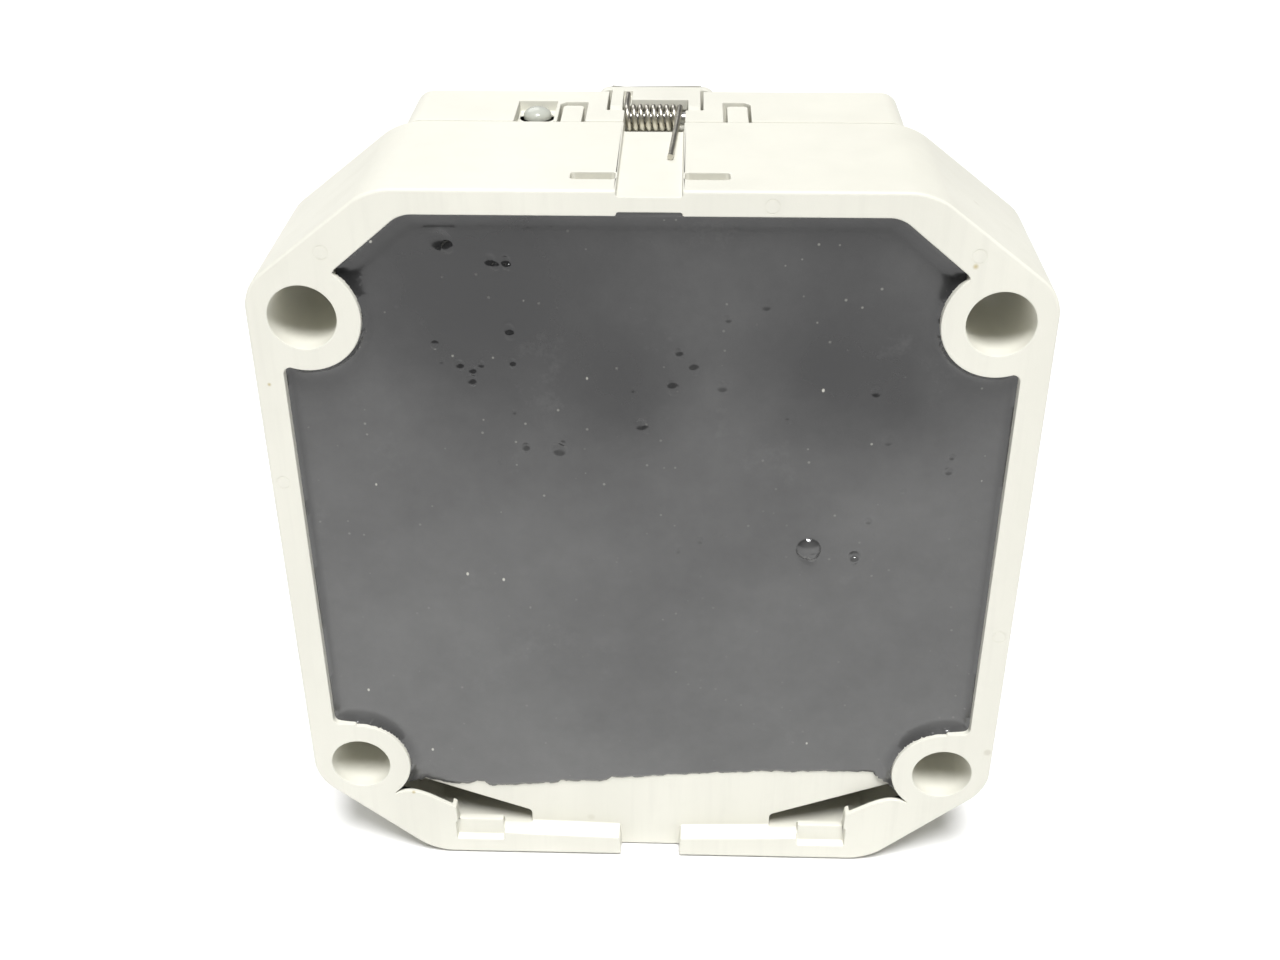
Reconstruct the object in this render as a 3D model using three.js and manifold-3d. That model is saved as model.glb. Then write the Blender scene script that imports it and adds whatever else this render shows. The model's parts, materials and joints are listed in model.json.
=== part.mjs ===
// Potted solid state relay for panel mounting, standing on its lower edge.
// Millimetres. +X right and +Z up as seen from behind, and +Y runs from the mounting face at the
// back to the terminals at the front. Inside this file a depth is measured forward from the
// mounting face; the whole group is moved back by half the depth at the end.
import * as THREE from "three";
import { mergeVertices } from "three/addons/utils/BufferGeometryUtils.js";
import Module from "manifold-3d";

const wasm = await Module();
wasm.setup();

// Driving dimensions
const WIDTH = 93;
const HEIGHT = 100;
const DEPTH = 40;
const TRAY_DEPTH = 23.5; // rear housing, mounting face to parting line
const COVER_FRONT = 36; // front face of the front cover
const TOWER_HALF = 31; // half width of the cover and the terminal block
const GAP = 0.3; // clearance between separate pieces
const SEAT = 0.05; // clearance under a piece that rests on a flat face

// Mounting bores
const BORE_X = 40;
const BORE_TOP_Z = 84.3;
const BORE_LOW_Z = 16.3;
const BORE_BACK_R = 4;
const BORE_FRONT_R = 3.25;
const BOSS_R = 6.85;

// Rear housing
const SIDE_WALL = 3.5;
const TOP_WALL = 3.05;
const FRONT_WALL = 3;
const DIVIDER_Z = 21; // lower edge of the potted chamber
const LEDGE_DEPTH = 2.3; // the plate below the compound lies this far under the rim
const LEDGE_BACK = 4.8; // front side of that plate
const LOWER_PLATE = 0.8; // thickness of the corner plates beside the wedge slots
const WEDGE_TIP = 17;
const POCKET_NEAR = 20.9; // shallow rim pockets
const POCKET_FAR = 27.2;
const POCKET_TOP = 5.4;
const CHANNEL_HALF = 3.65;
const CHANNEL_FLOOR = HEIGHT - 0.75;
const POCKET_FLOOR = 96.2;
const POCKET_START = 22;
const HOLLOW_FRONT = TRAY_DEPTH - FRONT_WALL;

// Compound and circuit board
const FILL_SURFACE = 2;
const FILL_FRONT = 11.5;
const FILM_FRONT = LEDGE_DEPTH - 0.05; // thin film that lies on the ledge plate
const BOARD_BACK = 11.8;
const BOARD_FRONT = 13.4;

// Flap hinge and its spring
const HINGE_DEPTH = 30;
const HINGE_Z = 98.3;
const PIN_R = 0.75;
const PIN_HALF = 8;
const WIRE_R = 0.35;
const COIL_R = 1.35;
const COIL_LEFT = -3.6;
const COIL_RIGHT = 3.1;
const COIL_TURNS = 8;
const HUB_R = 1.6;
const ARM_IN = 4.1;
const ARM_OUT = 5.7;
const FLAP_HALF = 21;
const FLAP_FOOT = 60.5;
const FLAP_TOP = 99.9;
const FLAP_BACK = 36.4;
const FLAP_FACE = 38.2;
const WEB_FOOT = 98.5;

// Cover, its sunken control panel and what is in it
const COVER_FOOT = 28;
const CONTROL_BOARD_BACK = 24.4;
const CONTROL_BOARD_FRONT = 26;
const PANEL_FLOOR = 31; // face of the sunken control panel
const PANEL_BACK = 29;
const PANEL_HALF = 20;
const PANEL_LOW = 62;
const PANEL_HIGH = 86;
const CONTROL_Z = 74;
const DIAL_X = -9;
const DIAL_R = 6;
const BUTTON_X = 10;
const BUTTON_R = 2.8;
const LENS_X = -14.8;
const LENS_DEPTH = 29;
const LENS_R = 1.75;
const LENS_BORE_R = 2.05;

// Terminals
const TERMINALS = 6;
const PITCH = 10;
const CELL_HALF = 4.2;
const BLOCK_FOOT = 1.2;
const BLOCK_TOP = 27.7;
const CELL_TOP = 25.6;
const CELL_FLOOR = 29.2;
const SCREW_Z = 14;

// --- solids -------------------------------------------------------------------------------------

function solid(geometry) {
  const bare = geometry.clone();
  bare.deleteAttribute("normal");
  bare.deleteAttribute("uv");
  const merged = mergeVertices(bare, 1e-4);
  const vertProperties = new Float32Array(merged.attributes.position.array);
  const triVerts = new Uint32Array(merged.index.array);
  return new wasm.Manifold(new wasm.Mesh({ numProp: 3, vertProperties, triVerts }));
}

function geometryOf(body) {
  const mesh = body.getMesh();
  const geometry = new THREE.BufferGeometry();
  geometry.setAttribute("position", new THREE.BufferAttribute(mesh.vertProperties, 3));
  geometry.setIndex(new THREE.BufferAttribute(mesh.triVerts, 1));
  geometry.computeVertexNormals();
  return geometry;
}

function join(first, ...others) {
  return others.reduce((sum, next) => sum.add(next), first);
}

function cut(first, ...others) {
  return others.reduce((rest, next) => rest.subtract(next), first);
}

function mirrored(make) {
  return [-1, 1].map((side) => make(side));
}

// Closed outline through [x, z, rounding] corners; rounding is the length cut from each side.
function outline(corners) {
  const shape = new THREE.Shape();
  const count = corners.length;
  corners.forEach(([x, z, rounding = 0], index) => {
    const here = new THREE.Vector2(x, z);
    const before = new THREE.Vector2(...corners[(index + count - 1) % count].slice(0, 2));
    const after = new THREE.Vector2(...corners[(index + 1) % count].slice(0, 2));
    const start = here.clone().add(before.sub(here).setLength(rounding));
    const end = here.clone().add(after.sub(here).setLength(rounding));
    if (index === 0) shape.moveTo(start.x, start.y);
    else shape.lineTo(start.x, start.y);
    if (rounding > 0) shape.quadraticCurveTo(here.x, here.y, end.x, end.y);
  });
  shape.closePath();
  return shape;
}

// Outline in X and Z, extruded from one depth to another, with an optional softened edge.
function slab(shape, from, to, soft = 0) {
  const geometry = new THREE.ExtrudeGeometry(shape, {
    depth: to - from - 2 * soft,
    curveSegments: 4,
    bevelEnabled: soft > 0,
    bevelThickness: soft,
    bevelSize: soft,
    bevelOffset: -soft,
    bevelSegments: 2,
  });
  geometry.rotateX(Math.PI / 2);
  geometry.translate(0, to - soft, 0);
  return solid(geometry);
}

function box([x0, x1], [d0, d1], [z0, z1]) {
  const geometry = new THREE.BoxGeometry(x1 - x0, d1 - d0, z1 - z0);
  geometry.translate((x0 + x1) / 2, (d0 + d1) / 2, (z0 + z1) / 2);
  return solid(geometry);
}

// Round bar along the depth; its radius may change from the back end to the front end.
function barY(x, z, from, to, backRadius, frontRadius = backRadius, sides = 20) {
  const geometry = new THREE.CylinderGeometry(frontRadius, backRadius, to - from, sides);
  geometry.translate(x, (from + to) / 2, z);
  return solid(geometry);
}

function barX(depth, z, from, to, radius, sides = 16) {
  const geometry = new THREE.CylinderGeometry(radius, radius, to - from, sides);
  geometry.rotateZ(Math.PI / 2);
  geometry.translate((from + to) / 2, depth, z);
  return solid(geometry);
}

function barZ(x, depth, from, to, radius, sides = 16) {
  const geometry = new THREE.CylinderGeometry(radius, radius, to - from, sides);
  geometry.rotateX(Math.PI / 2);
  geometry.translate(x, depth, (from + to) / 2);
  return solid(geometry);
}

function boreCentres() {
  return [-BORE_X, BORE_X].flatMap((x) => [BORE_LOW_Z, BORE_TOP_Z].map((z) => [x, z]));
}

function bosses(from, to, radius) {
  return boreCentres().map(([x, z]) => barY(x, z, from, to, radius, radius, 28));
}

// --- materials ----------------------------------------------------------------------------------

function finish(color, roughness, metalness = 0) {
  return () => new THREE.MeshStandardMaterial({ color, roughness, metalness });
}

const housingPlastic = finish(0xe4e0d2, 0.5);
const blockPlastic = finish(0xcfccc0, 0.5);
const pottingCompound = finish(0x26272b, 0.3);
const boardLaminate = finish(0x2f6b43, 0.55);
const chipResin = finish(0x1d1d1f, 0.5);
const capacitorFilm = finish(0xb98a2c, 0.4);
const resistorLacquer = finish(0xb9a57c, 0.5);
const varistorCoat = finish(0x2d5f9c, 0.45);
const switchPlastic = finish(0x2b2b2e, 0.5);
const dialPlastic = finish(0x3a3d42, 0.45);
const buttonPlastic = finish(0xc5462e, 0.4);
const lensPlastic = finish(0xdfe3d8, 0.15);
const springSteel = finish(0x8d8a80, 0.35, 1);
const aluminium = finish(0xb9bbbd, 0.4, 1);
const tinnedBrass = finish(0xc9c2a8, 0.35, 1);
const platedSteel = finish(0xb8b9bb, 0.3, 1);
const labelFilm = finish(0xeeeeea, 0.5);

// --- rear housing -------------------------------------------------------------------------------

function housingOutline() {
  return outline([
    [-31.1, HEIGHT, 2.5],
    [31.1, HEIGHT, 2.5],
    [WIDTH / 2, 88, 3],
    [WIDTH / 2, 13.5, 3],
    [30.9, 0, 2.5],
    [-30.9, 0, 2.5],
    [-WIDTH / 2, 13.5, 3],
    [-WIDTH / 2, 88, 3],
  ]);
}

// The potted chamber between two depths, drawn in from its walls by an inset.
function chamber(from, to, inset = 0) {
  const side = WIDTH / 2 - SIDE_WALL - inset;
  const top = HEIGHT - TOP_WALL - inset;
  const shape = outline([
    [-27.7, top],
    [27.7, top],
    [35.4 - inset, 90.4],
    [BORE_X, BORE_TOP_Z],
    [BORE_X, 77.8 - inset],
    [side, 77.8 - inset],
    [side, 23.4 + inset],
    [BORE_X, 23.4 + inset],
    [BORE_X - 3, DIVIDER_Z + inset],
    [3 - BORE_X, DIVIDER_Z + inset],
    [-BORE_X, 23.4 + inset],
    [-side, 23.4 + inset],
    [-side, 77.8 - inset],
    [-BORE_X, 77.8 - inset],
    [-BORE_X, BORE_TOP_Z],
    [inset - 35.4, 90.4],
  ]);
  return cut(slab(shape, from, to), ...bosses(from - 1, to + 1, BOSS_R + inset));
}

// Closed outline from its right half, listed from the top down.
function mirroredOutline(half) {
  const left = half.map(([x, z, rounding]) => [-x, z, rounding]).reverse();
  return outline([...half, ...left]);
}

// Shallow field below the chamber, level with the ledge plate, with the notch through the rim.
function ledgeField() {
  const shape = mirroredOutline([
    [34.6, DIVIDER_Z + 0.5],
    [35.6, 10.9],
    [33.9, 11.6],
    [31.6, 11],
    [27.3, 8.4],
    [POCKET_FAR, POCKET_TOP],
    [POCKET_NEAR, POCKET_TOP],
    [POCKET_NEAR, 4.4],
    [WEDGE_TIP, 4.2],
    [4.3, 3.8],
    [4.1, -1],
  ]);
  return cut(slab(shape, -1, LEDGE_DEPTH), ...bosses(-2, LEDGE_DEPTH + 1, BOSS_R));
}

// Deep wedge between the slanted edge of the ledge plate and the thin plates of the lower corner.
function wedgeSlot(side) {
  const opening = [
    [35.2, 12.9],
    [35.6, 10.9],
    [31.6, 10],
    [27.2, POCKET_TOP],
    [POCKET_NEAR, POCKET_TOP],
    [POCKET_NEAR, 4.4],
    [WEDGE_TIP, 4.4],
    [WEDGE_TIP, 5.95],
  ];
  const room = [
    [35.2, 12.9],
    [36.6, 9],
    [30.6, 3.4],
    [WEDGE_TIP, 3.4],
    [WEDGE_TIP, 5.95],
  ];
  const across = (corners) => outline(corners.map(([x, z]) => [side * x, z]));
  const behindPlate = box(
    [Math.min(side * 28, side * 34), Math.max(side * 28, side * 34)],
    [LOWER_PLATE, LEDGE_DEPTH],
    [6, 12],
  );
  const cornerRoom = slab(across(room), LOWER_PLATE, HOLLOW_FRONT).intersect(behindPlate);
  return cut(
    join(slab(across(opening), LEDGE_DEPTH - 0.5, 3), slab(across(room), LEDGE_DEPTH - 0.3, 19), cornerRoom),
    ...bosses(-2, TRAY_DEPTH, BOSS_R),
  );
}

// Hollow behind the ledge plate, reached through the two wedge slots.
function ledgeHollow() {
  const shape = mirroredOutline([
    [32.6, 18.5],
    [32.4, 10.6],
    [WEDGE_TIP, 5.4],
  ]);
  return slab(shape, LEDGE_BACK, HOLLOW_FRONT);
}

function rimPocket(side) {
  const near = side * POCKET_NEAR;
  const far = side * POCKET_FAR;
  return box([Math.min(near, far), Math.max(near, far)], [-1, 1], [2.7, POCKET_TOP + 0.5]);
}

function wireSlit(side) {
  const near = side * 3.9;
  const far = side * 8.9;
  return box([Math.min(near, far), Math.max(near, far)], [3.6, 5.8], [97.6, HEIGHT + 1]);
}

// Thin tongue that stands forward of the parting line and fills a window in the cover.
function snapTongue(side) {
  const near = side * 8.95;
  const far = side * 11.6;
  return box([Math.min(near, far), Math.max(near, far)], [TRAY_DEPTH - 1, 30.5], [98.2, 99.7]);
}

function rearHousing() {
  const shell = slab(housingOutline(), 0, TRAY_DEPTH, 0.5);
  const bores = boreCentres().map(([x, z]) =>
    barY(x, z, -0.01, TRAY_DEPTH + 0.01, BORE_BACK_R, BORE_FRONT_R, 24),
  );
  const channel = box([-CHANNEL_HALF, CHANNEL_HALF], [-1, TRAY_DEPTH + 1], [CHANNEL_FLOOR, HEIGHT + 1]);
  const rimStep = box([-CHANNEL_HALF, CHANNEL_HALF], [-1, 2], [96, 97.4]);
  const pocket = box([-CHANNEL_HALF, CHANNEL_HALF], [POCKET_START, TRAY_DEPTH + 1], [POCKET_FLOOR, HEIGHT + 1]);
  const lugSlots = terminalCentres().map((x) =>
    box([x - 2, x + 2], [TRAY_DEPTH - FRONT_WALL - 1, TRAY_DEPTH + 1], [23.8, 25.6]),
  );
  const linkSlot = box([-7.2, 7.2], [TRAY_DEPTH - FRONT_WALL - 1, TRAY_DEPTH + 1], [50.4, 53.6]);
  const hollowed = cut(
    shell,
    chamber(-1, HOLLOW_FRONT),
    ledgeField(),
    ledgeHollow(),
    ...mirrored(wedgeSlot),
    ...mirrored(rimPocket),
    ...mirrored(wireSlit),
    ...bores,
    channel,
    rimStep,
    pocket,
    ...lugSlots,
    linkSlot,
  );
  return join(hollowed, ...mirrored(snapTongue));
}

// --- compound, main board and its parts ---------------------------------------------------------

const SPREADER_HALF = 29;
const SPREADER_LOW = 42;
const SPREADER_HIGH = 74;
const TRIAC_X = 14;
const TRIAC_HALF = 8;

function pottingFill() {
  const slabOfResin = chamber(FILL_SURFACE, FILL_FRONT, GAP);
  const pocket = box(
    [-SPREADER_HALF - 0.6, SPREADER_HALF + 0.6],
    [3.6, FILL_FRONT + 1],
    [SPREADER_LOW - 0.6, SPREADER_HIGH + 0.6],
  );
  const film = mirroredOutline([
    [34.1, DIVIDER_Z + 1],
    [34.1, 13.2],
    [32, 13.6],
    [20, 13.4],
    [6, 12.8],
  ]);
  const sheet = cut(slab(film, FILL_SURFACE, FILM_FRONT), ...bosses(0, FILL_FRONT, BOSS_R + GAP));
  return join(cut(slabOfResin, pocket), sheet);
}

function circuitBoard() {
  return chamber(BOARD_BACK, BOARD_FRONT, 0.7);
}

function heatSpreader() {
  return box([-SPREADER_HALF, SPREADER_HALF], [3.9, 6.4], [SPREADER_LOW, SPREADER_HIGH]);
}

// Flat power package: resin body, metal tab and three leads that reach the board.
function triac(x) {
  const body = box([x - TRIAC_HALF, x + TRIAC_HALF], [6.5, 10.7], [49, 70]);
  const leads = [-5, 0, 5].map((offset) =>
    join(
      box([x + offset - 0.6, x + offset + 0.6], [8.4, 9], [45, 49.5]),
      box([x + offset - 0.6, x + offset + 0.6], [8.4, BOARD_BACK - SEAT], [44.4, 45.1]),
    ),
  );
  return join(body, ...leads);
}

// Dual in-line package standing on the front side of the main board.
function dualInLine(x, z, width, length, pins, base, height) {
  const body = box([x - width / 2, x + width / 2], [base + 0.6, base + height], [z - length / 2, z + length / 2]);
  const feet = [-1, 1].flatMap((side) =>
    Array.from({ length: pins }, (_, index) => {
      const at = z + (index - (pins - 1) / 2) * 2.54;
      const inner = x + side * (width / 2 - 0.2);
      const outer = x + side * (width / 2 + 0.6);
      return box([Math.min(inner, outer), Math.max(inner, outer)], [base + SEAT, base + 1.8], [at - 0.3, at + 0.3]);
    }),
  );
  return join(body, ...feet);
}

function snubberCapacitor(x) {
  const shape = outline([
    [x - 9, 58, 1],
    [x + 9, 58, 1],
    [x + 9, 66.5, 1],
    [x - 9, 66.5, 1],
  ]);
  return slab(shape, BOARD_FRONT + SEAT, BOARD_FRONT + 6.2);
}

// Wire-wound resistor lying along X on bent wire ends.
function snubberResistor(x) {
  const z = 45;
  const depth = BOARD_FRONT + 2.6;
  const body = barX(depth, z, x - 6, x + 6, 2.1);
  const wires = mirrored((side) => {
    const tip = x + side * 8;
    const start = x + side * 5.8;
    return join(
      box([Math.min(start, tip), Math.max(start, tip)], [depth - 0.3, depth + 0.3], [z - 0.3, z + 0.3]),
      box([tip - 0.3, tip + 0.3], [BOARD_FRONT + SEAT, depth + 0.3], [z - 0.3, z + 0.3]),
    );
  });
  return join(body, ...wires);
}

function varistor(x) {
  return barY(x, 80, BOARD_FRONT + SEAT, BOARD_FRONT + 4.3, 6.4, 6, 24);
}

// Five pins in a carrier that join the main board to the control board.
function linkHeader() {
  const carrier = box([-6.6, 6.6], [BOARD_FRONT + SEAT, BOARD_FRONT + 2.6], [50.8, 53.2]);
  const pins = [-2, -1, 0, 1, 2].map((step) => {
    const x = step * 2.54;
    return box([x - 0.32, x + 0.32], [BOARD_FRONT + 2, CONTROL_BOARD_BACK - SEAT], [51.7, 52.3]);
  });
  return join(carrier, ...pins);
}

// --- front cover and what it holds --------------------------------------------------------------

function coverWindow(side) {
  const shape = outline([
    [side * 8.5, 23.7],
    [side * 11.9, 23.7],
    [side * 11.9, 30.2],
    [side * 11.1, 31.1],
    [side * 8.5, 31.1],
  ]);
  const geometry = new THREE.ExtrudeGeometry(shape, { depth: 4, bevelEnabled: false });
  geometry.translate(0, 0, 97);
  return solid(geometry);
}

function frontCover() {
  const shape = outline([
    [-TOWER_HALF, COVER_FOOT, 1.5],
    [TOWER_HALF, COVER_FOOT, 1.5],
    [TOWER_HALF, HEIGHT, 2.5],
    [-TOWER_HALF, HEIGHT, 2.5],
  ]);
  const front = TRAY_DEPTH + GAP;
  const shell = slab(shape, front, COVER_FRONT, 0.8);
  const squareBack = slab(shape, front, front + 2);
  const cavity = box([-28.8, 28.8], [front - 1, PANEL_BACK], [30.2, 93.5]);
  const lowerCavity = box([-28.8, 28.8], [front - 1, 34], [30.2, 59.5]);
  const panel = slab(
    outline([
      [-PANEL_HALF, PANEL_LOW, 2],
      [PANEL_HALF, PANEL_LOW, 2],
      [PANEL_HALF, PANEL_HIGH, 2],
      [-PANEL_HALF, PANEL_HIGH, 2],
    ]),
    PANEL_FLOOR,
    COVER_FRONT + 1,
  );
  const coilPocket = box([-3.75, 3.75], [front - 1, 29], [POCKET_FLOOR, HEIGHT + 1]);
  const yokePocket = box([-6, 6], [27.95, COVER_FRONT + 1], [POCKET_FLOOR, HEIGHT + 1]);
  const pinBore = barX(HINGE_DEPTH, HINGE_Z, -PIN_HALF - 0.2, PIN_HALF + 0.2, PIN_R + 0.25);
  const dialBore = barY(DIAL_X, CONTROL_Z, PANEL_BACK - 1, PANEL_FLOOR + 1, 1.9);
  const buttonBore = barY(BUTTON_X, CONTROL_Z, PANEL_BACK - 1, PANEL_FLOOR + 1, BUTTON_R + 0.4);
  const lensBore = barZ(LENS_X, LENS_DEPTH, 92, HEIGHT + 1, LENS_BORE_R, 20);
  const ledPocket = box([-17.2, -12.4], [front - 1, 31.2], [88.2, 93.5]);
  const lensRecess = box([-17.2, -12.4], [front - 1, 31.4], [98.6, HEIGHT + 1]);
  return cut(
    join(shell, squareBack),
    cavity,
    lowerCavity,
    panel,
    coilPocket,
    yokePocket,
    pinBore,
    dialBore,
    buttonBore,
    lensBore,
    ledPocket,
    lensRecess,
    ...mirrored(coverWindow),
  );
}

function controlBoard() {
  return box([-26, 26], [CONTROL_BOARD_BACK, CONTROL_BOARD_FRONT], [34, 90]);
}

function settingPotentiometer() {
  const body = box([DIAL_X - 5, DIAL_X + 5], [CONTROL_BOARD_FRONT + SEAT, 28.7], [CONTROL_Z - 5, CONTROL_Z + 5]);
  return cut(body, barY(DIAL_X, CONTROL_Z, 26.6, 30, 1.8));
}

// Slotted dial on a stub shaft, turned with a screwdriver.
function settingDial() {
  const disc = barY(DIAL_X, CONTROL_Z, PANEL_FLOOR + GAP, 35.2, DIAL_R, DIAL_R - 0.4, 32);
  const shaft = barY(DIAL_X, CONTROL_Z, 26.9, 32, 1.4);
  const slot = box([DIAL_X - 0.6, DIAL_X + 0.6], [34, 36], [CONTROL_Z - 4.4, CONTROL_Z + 4.4]);
  return cut(join(disc, shaft), slot);
}

function buttonSwitch() {
  const body = box([BUTTON_X - 3, BUTTON_X + 3], [CONTROL_BOARD_FRONT + SEAT, 26.7], [CONTROL_Z - 3, CONTROL_Z + 3]);
  return join(body, barY(BUTTON_X, CONTROL_Z, 26.5, 26.95, 1.6));
}

function testButton() {
  const stem = barY(BUTTON_X, CONTROL_Z, 28, 34.2, BUTTON_R);
  const crown = barY(BUTTON_X, CONTROL_Z, 34.1, 34.7, BUTTON_R, BUTTON_R - 0.6);
  const flange = barY(BUTTON_X, CONTROL_Z, 28, 28.7, 3.7);
  return join(stem, crown, flange);
}

function indicatorLed() {
  const bulb = barZ(LENS_X, LENS_DEPTH, 89, 95.6, 1.5);
  const flange = barZ(LENS_X, LENS_DEPTH, 89, 90, 1.8);
  const leads = mirrored((side) => {
    const x = LENS_X + side * 0.8;
    return join(
      box([x - 0.25, x + 0.25], [28.2, 28.7], [84.5, 89.2]),
      box([x - 0.25, x + 0.25], [CONTROL_BOARD_FRONT + SEAT, 28.5], [84.5, 85]),
    );
  });
  return join(bulb, flange, ...leads);
}

// Short light pipe with a domed top.
function indicatorLens() {
  const base = 95.9;
  const shoulder = 98.9;
  const dome = Array.from({ length: 6 }, (_, index) => {
    const turn = (index / 5) * (Math.PI / 2);
    return new THREE.Vector2(LENS_R * Math.cos(turn), shoulder + (HEIGHT - 0.05 - shoulder) * Math.sin(turn));
  });
  dome[dome.length - 1].x = 0;
  const profile = [new THREE.Vector2(0, base), new THREE.Vector2(LENS_R, base), ...dome];
  const geometry = new THREE.LatheGeometry(profile, 14);
  geometry.rotateX(Math.PI / 2);
  geometry.translate(LENS_X, LENS_DEPTH, 0);
  return solid(geometry);
}

function controlChip() {
  return dualInLine(0, 42, 6, 10.4, 4, CONTROL_BOARD_FRONT, 3);
}

function frontLabel() {
  const shape = outline([
    [-24, 33, 1.5],
    [24, 33, 1.5],
    [24, 57, 1.5],
    [-24, 57, 1.5],
  ]);
  return slab(shape, COVER_FRONT + SEAT, COVER_FRONT + 0.35);
}

// --- flap, pin and spring -----------------------------------------------------------------------

function flapArm(side) {
  const near = side * ARM_IN;
  const far = side * ARM_OUT;
  const across = [Math.min(near, far), Math.max(near, far)];
  return join(
    barX(HINGE_DEPTH, HINGE_Z, ...across, HUB_R, 20),
    box(across, [HINGE_DEPTH, FLAP_FACE], [WEB_FOOT, FLAP_TOP]),
  );
}

function coverFlap() {
  const panel = slab(
    outline([
      [-FLAP_HALF, FLAP_FOOT, 2.5],
      [FLAP_HALF, FLAP_FOOT, 2.5],
      [FLAP_HALF, FLAP_TOP - 4, 2.5],
      [9, FLAP_TOP - 4, 1],
      [7, FLAP_TOP, 1],
      [-7, FLAP_TOP, 1],
      [-9, FLAP_TOP - 4, 1],
      [-FLAP_HALF, FLAP_TOP - 4, 2.5],
    ]),
    FLAP_BACK,
    FLAP_FACE,
    0.4,
  );
  const web = box([-ARM_OUT, ARM_OUT], [32.4, FLAP_FACE - 0.5], [WEB_FOOT, FLAP_TOP]);
  const thumbTab = box([-7, 7], [FLAP_FACE - 0.5, DEPTH], [62, 64]);
  const pinBore = barX(HINGE_DEPTH, HINGE_Z, -ARM_OUT - 1, ARM_OUT + 1, PIN_R + 0.25);
  const legGroove = box([-4.15, -3.05], [31, 36], [99.15, HEIGHT + 1]);
  const joined = join(panel, web, thumbTab, ...mirrored(flapArm));
  return cut(joined, pinBore, legGroove);
}

function flapHingePin() {
  return barX(HINGE_DEPTH, HINGE_Z, -PIN_HALF, PIN_HALF, PIN_R, 14);
}

// One wire: a front leg, the coil round the pin, and a back leg that lies along the channel.
class SpringPath extends THREE.Curve {
  getPoint(share, target = new THREE.Vector3()) {
    const leg = 0.14;
    const crest = HINGE_Z + COIL_R;
    if (share < leg) {
      const along = share / leg;
      return target.set(COIL_LEFT, 35.4 + (HINGE_DEPTH - 35.4) * along, crest);
    }
    if (share > 1 - leg) {
      const along = (share - 1 + leg) / leg;
      return target.set(COIL_RIGHT - 0.95 * along, HINGE_DEPTH + (11.6 - HINGE_DEPTH) * along, crest);
    }
    const along = (share - leg) / (1 - 2 * leg);
    const turn = along * COIL_TURNS * 2 * Math.PI;
    const x = COIL_LEFT + (COIL_RIGHT - COIL_LEFT) * along;
    return target.set(x, HINGE_DEPTH - COIL_R * Math.sin(turn), HINGE_Z + COIL_R * Math.cos(turn));
  }
}

function flapTorsionSpring() {
  const section = new THREE.Shape();
  section.absarc(0, 0, WIRE_R, 0, 2 * Math.PI);
  const path = new SpringPath();
  path.arcLengthDivisions = 1200;
  const geometry = new THREE.ExtrudeGeometry(section, {
    steps: 130,
    curveSegments: 3,
    bevelEnabled: false,
    extrudePath: path,
  });
  return solid(geometry);
}

// --- terminals ----------------------------------------------------------------------------------

function terminalCentres() {
  return Array.from({ length: TERMINALS }, (_, index) => (index - (TERMINALS - 1) / 2) * PITCH);
}

function terminalBlock() {
  const shape = outline([
    [-TOWER_HALF, BLOCK_FOOT, 1.5],
    [TOWER_HALF, BLOCK_FOOT, 1.5],
    [TOWER_HALF, BLOCK_TOP, 1],
    [-TOWER_HALF, BLOCK_TOP, 1],
  ]);
  const back = TRAY_DEPTH + GAP;
  const body = join(slab(shape, back, DEPTH, 0.6), slab(shape, back, back + 2));
  const cells = terminalCentres().map((x) =>
    box([x - CELL_HALF, x + CELL_HALF], [CELL_FLOOR, DEPTH + 1], [BLOCK_FOOT - 1, CELL_TOP]),
  );
  const screwBores = terminalCentres().map((x) => barY(x, SCREW_Z, 25, CELL_FLOOR + 1, 2));
  const lugSlots = terminalCentres().map((x) => box([x - 1.9, x + 1.9], [back - 1, CELL_FLOOR + 1], [23.8, CELL_TOP]));
  return cut(body, ...cells, ...screwBores, ...lugSlots);
}

// Flat lug under the screw, with a tail that runs back to the main board.
function terminalLug(x) {
  const plate = box([x - 3.7, x + 3.7], [CELL_FLOOR + SEAT, CELL_FLOOR + 1], [6, 25.2]);
  const tail = box([x - 1.5, x + 1.5], [BOARD_FRONT + SEAT, CELL_FLOOR + 0.6], [24.2, 25.2]);
  return cut(join(plate, tail), barY(x, SCREW_Z, 28, 32, 2.1));
}

function clampWasher(x) {
  const plate = box([x - 3.7, x + 3.7], [CELL_FLOOR + 1.05, CELL_FLOOR + 2.2], [SCREW_Z - 3.7, SCREW_Z + 3.7]);
  return cut(plate, barY(x, SCREW_Z, 28, 32, 1.9));
}

function terminalScrew(x) {
  const base = CELL_FLOOR + 2.2 + SEAT;
  const head = barY(x, SCREW_Z, base, base + 2.4, 3.5, 3.1, 18);
  const shank = barY(x, SCREW_Z, 25.5, base + 0.5, 1.6, 1.6, 10);
  const slots = [
    box([x - 0.45, x + 0.45], [base + 1.2, base + 3], [SCREW_Z - 4, SCREW_Z + 4]),
    box([x - 2, x + 2], [base + 1.2, base + 3], [SCREW_Z - 0.45, SCREW_Z + 0.45]),
  ];
  return cut(join(head, shank), ...slots);
}

// --- assembly -----------------------------------------------------------------------------------

const relay = new THREE.Group();

function place(name, body, material) {
  const mesh = new THREE.Mesh(geometryOf(body), material());
  mesh.name = name;
  relay.add(mesh);
}

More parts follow.
